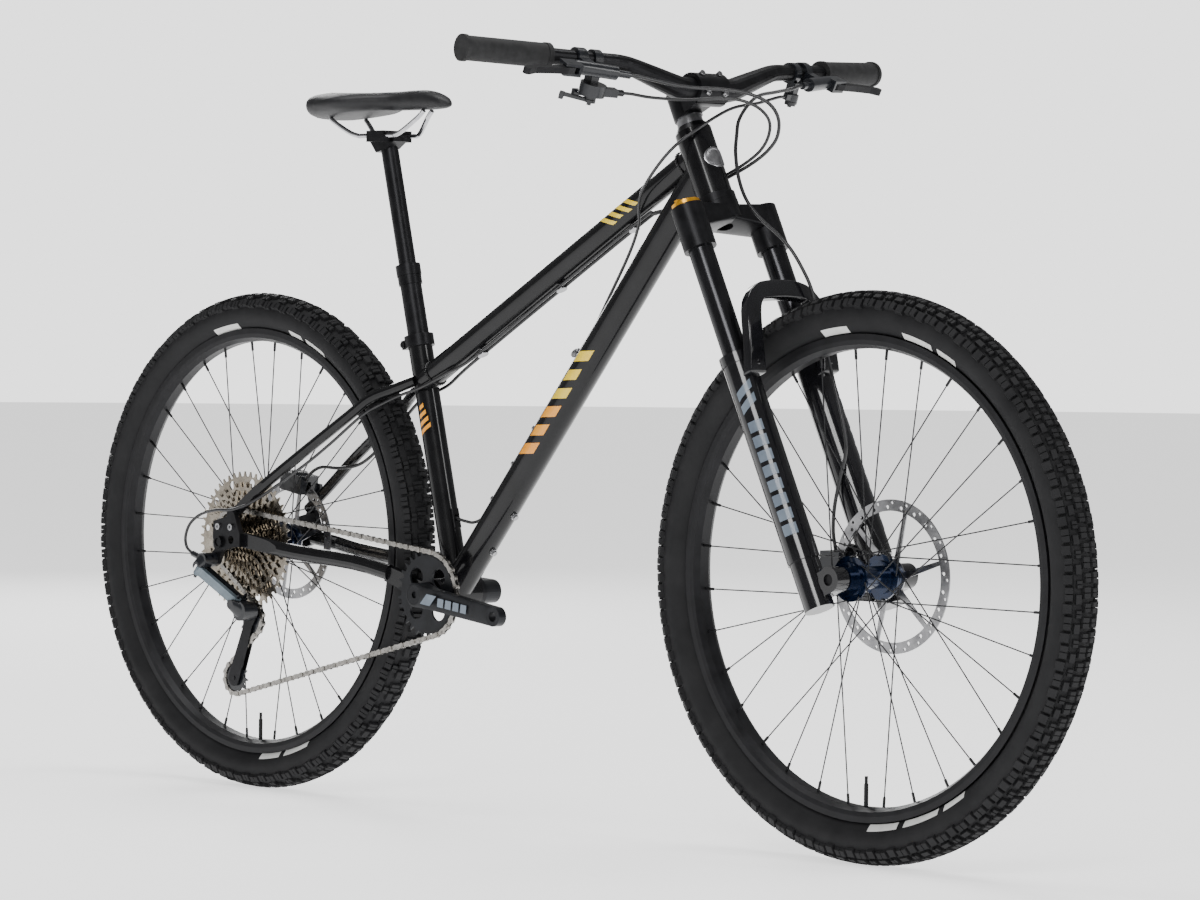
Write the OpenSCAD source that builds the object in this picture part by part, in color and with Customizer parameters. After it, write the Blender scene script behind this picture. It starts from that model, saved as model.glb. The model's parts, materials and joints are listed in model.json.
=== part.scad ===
// Hardtail mountain bike, in millimetres.
// X points forward, Y to the rider's left and Z up. The origin is on the ground,
// midway between the front and the rear of the tyres.

/* [Wheels] */
// Distance between the two wheel axles
wheelbase = 1228; // [1150:1:1300]
// Outer radius of the front tyre, over its knobs
front_tyre_r = 376; // [340:1:390]
// Outer radius of the rear tyre, over its knobs
rear_tyre_r = 372; // [340:1:390]
// Width of the front tyre
front_tyre_w = 63; // [50:1:68]
// Width of the rear tyre
rear_tyre_w = 60; // [50:1:62]
// Radius to the rim's inner face
rim_inner_r = 299.3; // [280:0.1:302]
// Depth of the rim from its inner face to its edge
rim_depth = 19; // [16:0.5:24]
// Outside width of the rim
rim_w = 35; // [28:0.5:40]
// Number of spokes in each wheel
spoke_count = 32; // [24:4:36]
// Diameter of a spoke
spoke_d = 1.8; // [1.5:0.1:2.3]
// Width of the front hub between the fork's dropouts
front_hub_w = 110; // [100:1:110]
// Width of the rear hub between the frame's dropouts
rear_hub_w = 148; // [142:1:150]

/* [Brakes] */
// Radius of the front brake rotor
front_rotor_r = 101.5; // [80:0.5:102]
// Radius of the rear brake rotor
rear_rotor_r = 90; // [70:0.5:91]
// Thickness of each brake rotor
rotor_t = 1.8; // [1.5:0.1:2.4]
// Distance from the fork's left dropout in to the front rotor
front_rotor_inset = 10.5; // [9:0.5:12]
// Distance from the frame's left dropout in to the rear rotor
rear_rotor_inset = 15.3; // [14.5:0.1:16]

/* [Frame] */
// Height of the bottom bracket's centre
bb_height = 315; // [290:1:340]
// Distance from the rear axle forward to the bottom bracket
bb_ahead = 428; // [415:1:450]
// Width of the bottom bracket shell
bb_shell_w = 73; // [68:1:83]
// Outside diameter of the bottom bracket shell
bb_shell_d = 44; // [40:1:48]
// Angle of the seat tube from level
seat_angle = 76.2; // [72:0.1:78]
// Distance from the bottom bracket forward to the seat tube's axis, at the bracket's height
seat_offset = 10; // [0:1:18]
// Length of the seat tube from the bottom bracket's height
seat_tube_len = 380; // [340:1:420]
// Outside diameter of the seat tube
seat_tube_d = 34.9; // [34:0.1:38]
// Outside diameter of the top tube
top_tube_d = 35; // [30:0.5:42]
// Height of the top tube's axis along the seat tube
top_tube_at_seat = 311; // [280:1:340]
// Height of the top tube's axis along the steering axis
top_tube_at_head = 640; // [625:1:650]
// Outside diameter of the down tube
down_tube_d = 44; // [32:0.5:46]
// Height of the down tube's axis along the steering axis
down_tube_at_head = 617; // [605:1:620]
// Wall thickness of the frame's tubes
tube_wall = 1.2; // [0.8:0.1:3]
// Depth of each chainstay
chainstay_depth = 23; // [18:0.5:26]
// Width of each chainstay
chainstay_w = 16; // [14:0.5:18]
// Diameter of each seatstay
seatstay_d = 16; // [12:0.5:18]
// Thickness of each rear dropout
dropout_t = 8; // [6:0.5:12]

/* [Fork] */
// Angle of the steering axis from level
head_angle = 64.5; // [62:0.1:67]
// Distance from the steering axis forward to the front axle
fork_offset = 44; // [37:1:51]
// Distance from the front axle up to the seat of the lower headset bearing
axle_to_crown = 558; // [530:1:570]
// Suspension travel of the fork
fork_travel = 150; // [120:1:150]
// Diameter of the stanchions
stanchion_d = 34; // [32:1:36]
// Distance between the centres of the two fork legs
leg_spacing = 140; // [134:1:146]
// Distance from the steering axis forward to the stanchions
leg_offset = 8; // [4:1:12]
// Outside diameter of the head tube
head_tube_d = 50; // [46:0.5:56]
// Length of the head tube
head_tube_len = 99; // [90:1:120]

/* [Cockpit] */
// Distance from the steering axis forward to the bar clamp
stem_length = 43; // [35:1:60]
// Overall width of the handlebar, over the grips
bar_w = 782; // [740:2:800]
// Diameter of the bar where the stem clamps it
bar_clamp_d = 31.8; // [31.8:3.2:35]
// Diameter of the bar under the grips
bar_grip_d = 22.2; // [22.2:0.1:22.3]
// Rise of the bar from the clamp to its ends
bar_rise = 40; // [20:1:50]
// Distance that the bar's ends lie behind the clamp
bar_sweep = 55; // [30:1:65]
// Length of each grip
grip_len = 124; // [110:1:135]
// Outside diameter of each grip
grip_d = 33; // [30:0.5:36]

/* [Seat] */
// Diameter of the dropper post's outer tube
post_outer_d = 30.9; // [30.9:0.1:31.6]
// Diameter of the dropper post's sliding tube
post_inner_d = 25.4; // [24:0.1:26]
// Drop of the dropper post
post_travel = 170; // [125:1:172]
// Height of the dropper post's collar along the seat tube
post_collar_at = 484; // [470:1:500]
// Height of the saddle clamp along the seat tube
post_head_at = 664; // [660:1:690]
// Length of the saddle
saddle_len = 272; // [240:1:290]
// Width of the saddle
saddle_w = 142; // [130:1:160]

/* [Drivetrain] */
// Length of each crank arm between its two axes
crank_len = 175; // [165:2.5:175]
// Angle of the right crank arm below level, pointing forward
crank_angle = 7; // [0:1:20]
// Teeth on the chainring
ring_teeth = 30; // [28:2:32]
// Teeth on each jockey wheel
pulley_teeth = 12; // [11:1:12]
// Pitch of the chain
chain_pitch = 12.7; // [12.7:0.1:12.8]
// Distance from the middle of the bike out to the chain
chain_line = 50; // [49:0.5:51]
// Distance between neighbouring cogs
cog_gap = 3.5; // [3.4:0.05:3.6]

/* [Hidden] */
$fn = 48;
running_fit = 0.1;
seat_fit = 0.05;
cut = 1;
// Teeth on each cog: the chain runs on the first, with smaller cogs outside it and larger ones inside
cog_teeth = 24;
small_cogs = [21, 18, 16, 14, 12, 10];
large_cogs = [28, 32, 36, 42, 50];

// Main points of the bike
rear_x = -(wheelbase + front_tyre_r - rear_tyre_r) / 2;
front_x = rear_x + wheelbase;
rear_c = [rear_x, 0, rear_tyre_r];
front_c = [front_x, 0, front_tyre_r];
bb = [rear_x + bb_ahead, 0, bb_height];

// Directions of the steering axis and of the forward normal to it
steer_up = [-cos(head_angle), 0, sin(head_angle)];
steer_fwd = [sin(head_angle), 0, cos(head_angle)];
steer_foot = front_c - fork_offset * steer_fwd;
seat_up = [-cos(seat_angle), 0, sin(seat_angle)];
seat_fwd = [sin(seat_angle), 0, cos(seat_angle)];
seat_foot = bb + [seat_offset, 0, 0];

function on_steer(fwd, left, up) = steer_foot + fwd * steer_fwd + [0, left, 0] + up * steer_up;
function on_seat(fwd, left, up) = seat_foot + fwd * seat_fwd + [0, left, 0] + up * seat_up;

// Carries a shape drawn about the steering axis to its place
module about_steer() {
    translate(steer_foot) rotate([0, head_angle - 90, 0]) children();
}

// Carries a shape drawn about the seat tube's axis to its place
module about_seat() {
    translate(seat_foot) rotate([0, seat_angle - 90, 0]) children();
}

// Turns a shape drawn about Z so that it stands about Y, its top towards +Y
module about_y() {
    rotate([-90, 0, 0]) children();
}

// Extrudes a side view, drawn as X and Z, from y0 to y1
module side_view(y0, y1) {
    translate([0, y1, 0]) rotate([90, 0, 0]) linear_extrude(height = y1 - y0) children();
}

// Makes a shape and its mirror image on the other side of the bike
module both_sides() {
    children();
    mirror([0, 1, 0]) children();
}

// A round bar from a to b, tapered when r2 is given
module rod(a, b, r, r2 = undef) {
    v = b - a;
    len_v = norm(v);
    translate(a) rotate([0, acos(v.z / len_v), atan2(v.y, v.x)])
        cylinder(h = len_v, r1 = r, r2 = is_undef(r2) ? r : r2);
}

// A disc or ring about Y between y0 and y1
module ring_y(y0, y1, ro, ri = 0) {
    translate([0, y0, 0]) about_y() difference() {
        cylinder(h = y1 - y0, r = ro);
        if (ri > 0) translate([0, 0, -cut]) cylinder(h = y1 - y0 + 2 * cut, r = ri);
    }
}

// Smooth curves through chosen points, and tubes swept along them
function unit(v) = v / norm(v);
function curve_at(p, i, t) =
    let (a = p[max(i - 1, 0)], b = p[i], c = p[i + 1], d = p[min(i + 2, len(p) - 1)])
    0.5 * (2 * b + (c - a) * t + (2 * a - 5 * b + 4 * c - d) * t * t
        + (3 * b - a - 3 * c + d) * t * t * t);
function curve(p, steps) = [
    for (i = [0 : len(p) - 2]) for (k = [0 : steps - 1]) curve_at(p, i, k / steps),
    p[len(p) - 1]
];
function heading(p, i) = unit(p[min(i + 1, len(p) - 1)] - p[max(i - 1, 0)]);
function square_to(n, t) = unit(n - t * (n * t));
function side_dirs(p, n0) = [
    for (i = 0, n = square_to(n0, heading(p, 0)); i < len(p);
         i = i + 1, n = i < len(p) ? square_to(n, heading(p, i)) : n) n
];

// Sweeps an oval along a path; wide is its half width along n0 and tall its other half width
module sweep(path, wide, tall, sides, n0 = [0, 1, 0]) {
    dirs = side_dirs(path, n0);
    last = len(path) - 1;
    points = [
        for (i = [0 : last]) let (n = dirs[i], b = cross(heading(path, i), n))
            for (k = [0 : sides - 1]) let (a = 360 * k / sides)
                path[i] + wide * cos(a) * n + tall * sin(a) * b
    ];
    faces = concat(
        [[for (k = [0 : sides - 1]) k]],
        [for (i = [0 : last - 1]) for (k = [0 : sides - 1]) let (j = (k + 1) % sides)
            [i * sides + j, i * sides + k, (i + 1) * sides + k, (i + 1) * sides + j]],
        [[for (k = [sides - 1 : -1 : 0]) last * sides + k]]
    );
    polyhedron(points = points, faces = faces);
}

// ---------- Toothed wheels and the chain's path ----------

function pitch_r(teeth) = teeth * chain_pitch / 360 * (180 / PI);
roller_r = 3.85;
plate_half = 4.1;
plate_in = 1.2;
plate_out = 2.4;
tooth_half = 0.85;
root_drop = 4.2;
tip_rise = 3.2;
tooth_root_half = 3.1;
tooth_tip_half = 0.9;

// Outline of a toothed wheel whose first valley is at the angle phase
function toothed(teeth, phase) = [
    for (i = [0 : teeth - 1]) let (
        mid = phase + (i + 0.5) * 360 / teeth,
        root = pitch_r(teeth) - root_drop,
        tip = pitch_r(teeth) + tip_rise,
        root_a = tooth_root_half / root * 180 / PI,
        tip_a = tooth_tip_half / tip * 180 / PI)
    each [
        root * [cos(mid - root_a), sin(mid - root_a)],
        tip * [cos(mid - tip_a), sin(mid - tip_a)],
        tip * [cos(mid + tip_a), sin(mid + tip_a)],
        root * [cos(mid + root_a), sin(mid + root_a)]
    ]
];

// Jockey wheels, as distances behind or ahead of and below the rear axle
guide_c = [rear_x + 38, rear_tyre_r - 114];
tension_c = [rear_x + 2, rear_tyre_r - 204];
// Wheels in the order that the chain meets them: centre, radius and side of the chain
loop = [
    [[rear_x, rear_tyre_r], pitch_r(cog_teeth), 1],
    [[bb.x, bb.z], pitch_r(ring_teeth), 1],
    [tension_c, pitch_r(pulley_teeth), 1],
    [guide_c, pitch_r(pulley_teeth), -1]
];
stops = len(loop);
function wheel(i) = loop[(i + stops) % stops];
function normal_angle(i) = let (a = wheel(i), b = wheel(i + 1), v = b[0] - a[0])
    atan2(v.y, v.x) + acos((a[2] * a[1] - b[2] * b[1]) / norm(v));
function polar(a) = [cos(a), sin(a)];
function leave(i) = wheel(i)[0] + wheel(i)[2] * wheel(i)[1] * polar(normal_angle(i));
function meet(i) = wheel(i)[0] + wheel(i)[2] * wheel(i)[1] * polar(normal_angle(i - 1));
function span(i) = norm(meet(i + 1) - leave(i));
// Angle turned on wheel i, between meeting it and leaving it
function turn(i) = let (d = wheel(i)[2] * (normal_angle(i - 1) - normal_angle(i)))
    d - 360 * floor(d / 360);
function wrap(i) = wheel(i)[1] * turn(i) * PI / 180;
// Length of chain from leaving the first wheel to meeting wheel i, then right round
function before(i) = i <= 1 ? span(0) : before(i - 1) + wrap(i - 1) + span(i - 1);
loop_len = before(stops) + wrap(0);
link_count = 2 * round(loop_len / chain_pitch / 2);
link_step = loop_len / link_count;
// The point at a distance along the chain, offset to its outside
function chain_at(s, off = 0, i = 0) =
    let (start = i == 0 ? 0 : before(i) + wrap(i), w = wheel(i + 1), n = normal_angle(i))
    s <= start + span(i) || i == stops ? leave(i) + (s - start) * polar(n - 90) + off * polar(n)
    : s <= start + span(i) + wrap(i + 1)
        ? let (a = n - w[2] * (s - start - span(i)) / w[1] * 180 / PI)
            w[0] + (w[2] * w[1] + off) * polar(a)
    : chain_at(s, off, i + 1);
// Angle of the first valley that puts a wheel in mesh with the chain
function mesh_phase(i) =
    let (s = i == 0 ? 0 : before(i), k = ceil(s / link_step) * link_step,
         along = i == 0 ? 0 : k - s,
         n = (i == 0 ? normal_angle(0) : normal_angle(i - 1)) + (wheel(i)[2] < 0 ? 180 : 0))
    n - wheel(i)[2] * along / wheel(i)[1] * 180 / PI;

// ---------- Frame ----------

head_low = axle_to_crown + 15;
head_top = head_low + head_tube_len;
head_bore_r = 22;
head_r = head_tube_d / 2;
seat_r = seat_tube_d / 2;
shell_r = bb_shell_d / 2;
weld_gap = 0.02;
top_seat_end = on_seat(0, 0, top_tube_at_seat);
top_head_end = on_steer(0, 0, top_tube_at_head);
down_head_end = on_steer(0, 0, down_tube_at_head);

module head_tube() {
    color("#2b2b2e") about_steer() translate([0, 0, head_low]) difference() {
        cylinder(h = head_tube_len, r = head_r);
        translate([0, 0, -cut]) cylinder(h = head_tube_len + 2 * cut, r = head_bore_r);
    }
}

module top_tube() {
    color("#2b2b2e") difference() {
        rod(top_seat_end, top_head_end, top_tube_d / 2);
        rod(top_seat_end, top_head_end, top_tube_d / 2 - tube_wall);
        about_steer() cylinder(h = 2 * head_top, r = head_r + weld_gap, center = true);
        about_seat() cylinder(h = 2 * seat_tube_len, r = seat_r + weld_gap, center = true);
    }
}

module down_tube() {
    color("#2b2b2e") difference() {
        rod(bb, down_head_end, down_tube_d / 2);
        rod(bb, down_head_end, down_tube_d / 2 - tube_wall);
        about_steer() cylinder(h = 2 * head_top, r = head_r + weld_gap, center = true);
        translate(bb) ring_y(-bb_shell_w, bb_shell_w, shell_r + weld_gap);
        about_seat() cylinder(h = seat_tube_len, r = seat_r + weld_gap, center = true);
        about_seat() translate([-bb_shell_d, -bb_shell_d, 0]) cube([bb_shell_d, 2 * bb_shell_d, bb_shell_d]);
        rod(top_seat_end, top_head_end, top_tube_d / 2 + weld_gap);
    }
}

post_low = 185;
port_at = 106;
module seat_tube() {
    color("#2b2b2e") difference() {
        union() {
            about_seat() cylinder(h = seat_tube_len, r = seat_r);
            about_seat() translate([seat_r - 3, -6, port_at - 14]) cube([6, 12, 28]);
        }
        about_seat() translate([0, 0, -cut])
            cylinder(h = seat_tube_len + 2 * cut, r = post_outer_d / 2 + seat_fit);
        about_seat() translate([0, -2.6, port_at - 4]) cube([seat_r + 6, 5.2, 9]);
        translate(bb) ring_y(-bb_shell_w, bb_shell_w, shell_r + weld_gap);
    }
}

cup_thread_r = 18;
module bb_shell() {
    color("#2b2b2e") translate(bb)
        ring_y(-bb_shell_w / 2, bb_shell_w / 2, shell_r, cup_thread_r + seat_fit);
}

spindle_r = 14.5;
cup_rim_w = 7.5;
cup_depth = 18;
low_race_r = 20;
steerer_r = 14.3;
module bearing_cups() {
    color("#1d1d20") {
        translate(bb) both_sides() {
            ring_y(bb_shell_w / 2, bb_shell_w / 2 + cup_rim_w, shell_r, spindle_r + running_fit);
            ring_y(bb_shell_w / 2 - cup_depth, bb_shell_w / 2 - 0.02, cup_thread_r,
                spindle_r + running_fit);
        }
        about_steer() {
            translate([0, 0, axle_to_crown + 3.5]) difference() {
                union() {
                    cylinder(h = 11.4, r = head_r + 2.5);
                    translate([0, 0, 11]) cylinder(h = 12, r = head_bore_r - seat_fit);
                }
                translate([0, 0, -cut]) cylinder(h = 40, r = low_race_r + running_fit);
            }
            translate([0, 0, head_top]) difference() {
                union() {
                    translate([0, 0, 0.1]) cylinder(h = 8, r1 = head_r, r2 = 20.5);
                    translate([0, 0, -12]) cylinder(h = 12.5, r = head_bore_r - seat_fit);
                }
                translate([0, 0, -40]) cylinder(h = 80, r = steerer_r + running_fit);
            }
        }
    }
}

stay_rear = [rear_x + 36, -(rear_hub_w / 2 - 4), rear_tyre_r + 5];
stay_front = [bb.x - 92, -43, bb.z + 26];
yoke_out = 45;
yoke_in = 33.5;
cog_clear_r = 34;
// The space outside the right dropout's inner face
module beyond_dropout() {
    translate([rear_x - 50, -2 * rear_hub_w, rear_tyre_r - 100])
        cube([200, 2 * rear_hub_w - drop_in + weld_gap, 200]);
}
module chainstays() {
    color("#2b2b2e") both_sides() difference() {
        union() {
            sweep(curve([
                stay_rear, stay_rear + [58, 0.5, -7], stay_rear + [120, 9, -15],
                stay_front + [-70, -6, 12], stay_front
            ], 3),
                chainstay_w / 2, chainstay_depth / 2, 16);
            side_view(-yoke_out, -yoke_in) polygon([
                [stay_front.x - 12, stay_front.z + 12], [bb.x - 34, bb.z + 21], [bb.x, bb.z + 12],
                [bb.x, bb.z - 14], [bb.x - 34, bb.z - 6], [stay_front.x - 8, stay_front.z - 12]
            ]);
        }
        translate(bb) ring_y(-bb_shell_w / 2 - cup_rim_w - 2, bb_shell_w, shell_r + 0.3);
        translate(rear_c) ring_y(-rear_hub_w, rear_hub_w, cog_clear_r);
        beyond_dropout();
    }
}

seatstay_top = on_seat(-4, -(seat_r - 2), top_tube_at_seat + 2);
seatstay_low = [rear_x + 25, -(rear_hub_w / 2 - 4), rear_tyre_r + 46];
seatstay_path = [
    seatstay_top, seatstay_top + [-38, -9, -13], seatstay_top + [-72, -23, -27],
    seatstay_top + [-110, -31, -53], seatstay_low + [128, 13, 87], seatstay_low + [48, 2, 34], seatstay_low
];
module seatstays() {
    color("#2b2b2e") {
        both_sides() difference() {
            sweep(curve(seatstay_path, 4), seatstay_d / 2, seatstay_d / 2, 14);
            about_seat() cylinder(h = 2 * seat_tube_len, r = seat_r + weld_gap, center = true);
            rod(top_seat_end, top_head_end, top_tube_d / 2 + weld_gap);
            beyond_dropout();
        }
    }
}

drop_in = rear_hub_w / 2 + running_fit;
drop_out = drop_in + dropout_t;
axle_r = 6;
hanger_c = [rear_x - 15, rear_tyre_r - 27];
slider_bolts = [[rear_x - 2, rear_tyre_r + 23], [rear_x + 27, rear_tyre_r + 23]];
module dropouts() {
    color("#232326") {
        both_sides() side_view(-drop_out, -drop_in) difference() {
            union() {
                polygon([
                    [rear_x - 15, rear_tyre_r + 31], [rear_x + 14, rear_tyre_r + 38],
                    [rear_x + 20, rear_tyre_r + 52], [rear_x + 33, rear_tyre_r + 44],
                    [rear_x + 42, rear_tyre_r + 22], [rear_x + 46, rear_tyre_r + 14],
                    [rear_x + 46, rear_tyre_r - 6], [rear_x + 32, rear_tyre_r - 6],
                    [rear_x + 12, rear_tyre_r - 12], [rear_x - 12, rear_tyre_r - 10],
                    [rear_x - 16, rear_tyre_r + 8]
                ]);
                translate([rear_x, rear_tyre_r]) circle(r = 15);
            }
            translate([rear_x, rear_tyre_r]) circle(r = axle_r + running_fit);
            for (c = slider_bolts) translate(c) circle(r = 3.05);
            translate([rear_x + 26, rear_tyre_r + 4]) circle(r = 6);
        }
        side_view(-drop_out + 1, -drop_in) difference() {
            polygon([
                [rear_x - 12.2, rear_tyre_r - 10.2], [rear_x + 3, rear_tyre_r - 15.2],
                [hanger_c.x + 9, hanger_c.y - 6], [hanger_c.x, hanger_c.y - 10.5],
                [hanger_c.x - 9, hanger_c.y - 5], [hanger_c.x - 10, hanger_c.y + 4]
            ]);
            translate(hanger_c) circle(r = 5.05);
            translate([rear_x, rear_tyre_r]) circle(r = 15.02);
        }
    }
}

// Bosses and bolts: three above the down tube, two below it, and the dropouts' bolts
down_dir = unit(down_head_end - bb);
down_up = [-down_dir.z, 0, down_dir.x];
boss_above = [158, 224, 290];
boss_below = [100, 168];
// Places of the hose clips, along the top tube from the seat tube and along the down tube
clip_at = [125, 310, 475];
dropper_clip_at = 425;
hose_r = 2.5;
top_dir = unit(top_head_end - top_seat_end);
top_down = [top_dir.z, 0, -top_dir.x];
module hose_clip(p, down) {
    rod(p, p + (2 * hose_r + 3) * down, 2);
    rod(p + (2 * hose_r + 2.98) * down, p + (2 * hose_r + 4.6) * down, 8);
}
module frame_fasteners() {
    color("#1a1a1c") {
        for (s = clip_at)
            hose_clip(top_seat_end + s * top_dir + (top_tube_d / 2 + weld_gap) * top_down, top_down);
        hose_clip(bb + dropper_clip_at * down_dir + (down_tube_d / 2 + weld_gap) * down_up, down_up);
        for (s = boss_above) let (p = bb + s * down_dir + (down_tube_d / 2 + weld_gap) * down_up) {
            rod(p, p + 2.8 * down_up, 5.5);
            rod(p + 2.8 * down_up, p + 6 * down_up, 4.2);
        }
        for (s = boss_below) let (p = bb + s * down_dir - (down_tube_d / 2 + weld_gap) * down_up) {
            rod(p, p - 2.8 * down_up, 5.5);
            rod(p - 2.8 * down_up, p - 6 * down_up, 4.2);
        }
    }
    color("#8c8c90") both_sides() for (c = slider_bolts) translate([c.x, 0, c.y]) {
        ring_y(-drop_out - 3.4, -drop_out - 0.02, 5, 2.2);
        ring_y(-drop_out - 0.6, -drop_in, 2.95);
    }
}

clamp_at = 362;
module seat_clamp() {
    color("#1a1a1c") about_seat() difference() {
        union() {
            translate([0, 0, clamp_at]) cylinder(h = 17, r = seat_r + 3.8);
            translate([-seat_r - 12, -9, clamp_at + 2]) cube([14, 18, 13]);
        }
        translate([0, 0, clamp_at - cut]) cylinder(h = 30, r = seat_r + seat_fit);
        translate([-seat_r - 16, -0.7, clamp_at - cut]) cube([20, 1.4, 30]);
        translate([-seat_r - 6.5, 0, clamp_at + 8.5]) rotate([90, 0, 0])
            cylinder(h = 40, r = 2.6, center = true);
    }
    color("#8c8c90") about_seat() translate([-seat_r - 6.5, 0, clamp_at + 8.5]) rotate([90, 0, 0]) {
        cylinder(h = 20, r = 2.5, center = true);
        translate([0, 0, 9.05]) cylinder(h = 4, r = 4.4);
    }
}

sleeve_r = 8.5;
module rear_axle() {
    color("#1d1d20") translate(rear_c) {
        ring_y(-rear_hub_w / 2, rear_hub_w / 2, sleeve_r, axle_r + seat_fit);
        ring_y(-drop_out - 3, drop_out + 0.02, axle_r);
        ring_y(drop_out + 0.02, drop_out + 5, 9);
        ring_y(-drop_out - 5, -drop_out - 0.02, 8.5, axle_r + seat_fit);
    }
}

// ---------- Brake calipers ----------

pad_w = 3;
caliper_depth = 12;
// Carries a shape to a rotor's edge at an angle from straight ahead; X points out from the hub
module at_rotor_edge(rotor_r, angle) {
    rotate([0, -angle, 0]) translate([rotor_r - caliper_depth, 0, 0]) children();
}
// A caliper astride the edge of a rotor whose centre is the origin
module caliper(rotor_r, angle, half_len, inner_x) {
    slot = rotor_t / 2 + 0.35;
    at_rotor_edge(rotor_r, angle) {
        difference() {
            union() {
                translate([inner_x, -17, -half_len]) cube([24 - inner_x, 34, 2 * half_len]);
                translate([10, 0, 0]) rotate([0, 90, 0]) cylinder(h = 17, r = 12);
            }
            translate([caliper_depth - rotor_r, 0, 0]) {
                ring_y(-slot - pad_w, slot + pad_w, rotor_r + 1.5);
                ring_y(-slot - 2, slot + 2, rotor_r + 6);
            }
        }
        both_sides() translate([-4, slot, -12]) cube([12, pad_w - 0.3, 24]);
    }
}

rear_rotor_y = rear_hub_w / 2 - rear_rotor_inset;
front_rotor_y = front_hub_w / 2 - front_rotor_inset;
rear_caliper_a = 80;
front_caliper_a = 178;
rear_caliper_half = 24;
front_caliper_half = 26;
module rear_caliper() {
    color("#1a1a1c") {
        translate([rear_x, rear_rotor_y, rear_tyre_r])
            caliper(rear_rotor_r, rear_caliper_a, rear_caliper_half, -4);
        side_view(drop_in + 1.5, drop_out - 1) polygon([
            [rear_x + 19, rear_tyre_r + 52.6], [rear_x + 33.6, rear_tyre_r + 45],
            [rear_x + 44, rear_tyre_r + 66], [rear_x + 44, rear_tyre_r + 84],
            [rear_x + 18, rear_tyre_r + 88], [rear_x + 12, rear_tyre_r + 76]
        ]);
    }
}

// ---------- Seat post and saddle ----------

module dropper_outer() {
    color("#1d1d20") about_seat() {
        difference() {
            translate([0, 0, post_low]) cylinder(h = post_collar_at - 30 - post_low, r = post_outer_d / 2);
            translate([0, 0, post_low + 6]) cylinder(h = post_collar_at, r = post_inner_d / 2 + running_fit);
        }
        difference() {
            union() {
                translate([0, 0, post_collar_at - 30]) cylinder(h = 13, r = 17.2);
                translate([0, 0, post_collar_at - 16.6]) cylinder(h = 16, r = 18);
                translate([0, 0, post_collar_at - 17.2]) cylinder(h = 1, r = 16.4);
            }
            translate([0, 0, post_low]) cylinder(h = post_collar_at, r = post_inner_d / 2 + running_fit);
        }
        translate([0, 0, post_low - 22]) cylinder(h = 21.9, r = 11);
    }
}

post_foot = post_collar_at - post_travel + 52;
rail_gauge = 22;
rail_r = 3.5;
rail_z = post_head_at + 13;
module dropper_post() {
    color("#1d1d20") about_seat() {
        difference() {
            translate([0, 0, post_foot]) cylinder(h = post_head_at - post_foot, r = post_inner_d / 2);
            translate([0, 0, post_foot - cut])
                cylinder(h = post_head_at - post_foot - 20, r = post_inner_d / 2 - 2);
        }
    }
    color("#1d1d20") translate(on_seat(0, 0, post_head_at)) difference() {
        union() {
            side_view(-13, 13) polygon([
                [-14, -12], [-27, 4], [-22, 7], [24, 9], [25, 4], [9, -6.5]
            ]);
            translate([-18, -28, 3]) cube([36, 56, 9]);
            translate([-18, -28, 12.1]) cube([36, 56, 7]);
        }
        both_sides() translate([-40, rail_gauge, 12]) rotate([0, 90, 0])
            cylinder(h = 80, r = rail_r + seat_fit);
        rotate([0, seat_angle - 90, 0]) translate([0, 0, -30]) cylinder(h = 30, r = post_inner_d / 2);
    }
}

// The saddle's places, measured from the post's head
saddle_o = on_seat(0, 0, post_head_at) + [0, 0, 12];
saddle_back = -saddle_len / 2 - 2;
module saddle_rails() {
    color("#c9c9cc") translate(saddle_o) both_sides() union() {
        translate([-40, rail_gauge, 0]) rotate([0, 90, 0]) cylinder(h = 76, r = rail_r);
        sweep(curve([[-39.98, rail_gauge, 0], [-58, rail_gauge + 2, 5], [-80, rail_gauge + 10, 19],
            [-90, rail_gauge + 12, 26.6]], 3), rail_r, rail_r, 10);
        sweep(curve([[35.98, rail_gauge, 0], [48, rail_gauge - 3, 5], [72, rail_gauge - 12, 24],
            [84, rail_gauge - 14, 34.6]], 3), rail_r, rail_r, 10);
    }
}

// Half width, height of the crown and height of the skirt along the saddle, from 0 at the tail to 1
function saddle_half(t) = saddle_w / 2 * (
    t < 0.1 ? 0.55 + 4 * t : t < 0.3 ? 0.95 + 0.25 * (t - 0.1) : t < 0.62
        ? 0.27 + 0.73 * pow(cos((t - 0.3) / 0.32 * 90), 1.5) : 0.27 - 0.09 * pow((t - 0.62) / 0.38, 3));
function saddle_crown(t) = 60 + 4 * cos(360 * (t - 0.06)) * (1 - t) + 6 * sin(180 * t) * t
    - 13 * pow(max(0, t - 0.84) / 0.16, 2);
function saddle_skirt(t) = 24 + 14 * min(1, t / 0.5) - 3 * max(0, t - 0.6);
module saddle() {
    stations = 22;
    sides = 20;
    points = [
        for (i = [0 : stations]) let (
            t = i / stations,
            squash = i == 0 || i == stations ? 0.35 : 1,
            half = saddle_half(t) * squash,
            mid = (saddle_crown(t) + saddle_skirt(t)) / 2,
            high = (saddle_crown(t) - saddle_skirt(t)) / 2 * (i == 0 || i == stations ? 0.5 : 1))
            for (k = [0 : sides - 1]) let (a = 360 * k / sides, c = cos(a), s = sin(a))
                [saddle_back + saddle_len * t, half * sign(c) * pow(abs(c), 0.7),
                 mid + high * sign(s) * pow(abs(s), 0.8)]
    ];
    faces = concat(
        [[for (k = [sides - 1 : -1 : 0]) k]],
        [for (i = [0 : stations - 1]) for (k = [0 : sides - 1]) let (j = (k + 1) % sides)
            [i * sides + k, i * sides + j, (i + 1) * sides + j, (i + 1) * sides + k]],
        [[for (k = [0 : sides - 1]) stations * sides + k]]
    );
    color("#262628") translate(saddle_o) polyhedron(points = points, faces = faces);
}

// ---------- Fork ----------

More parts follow.
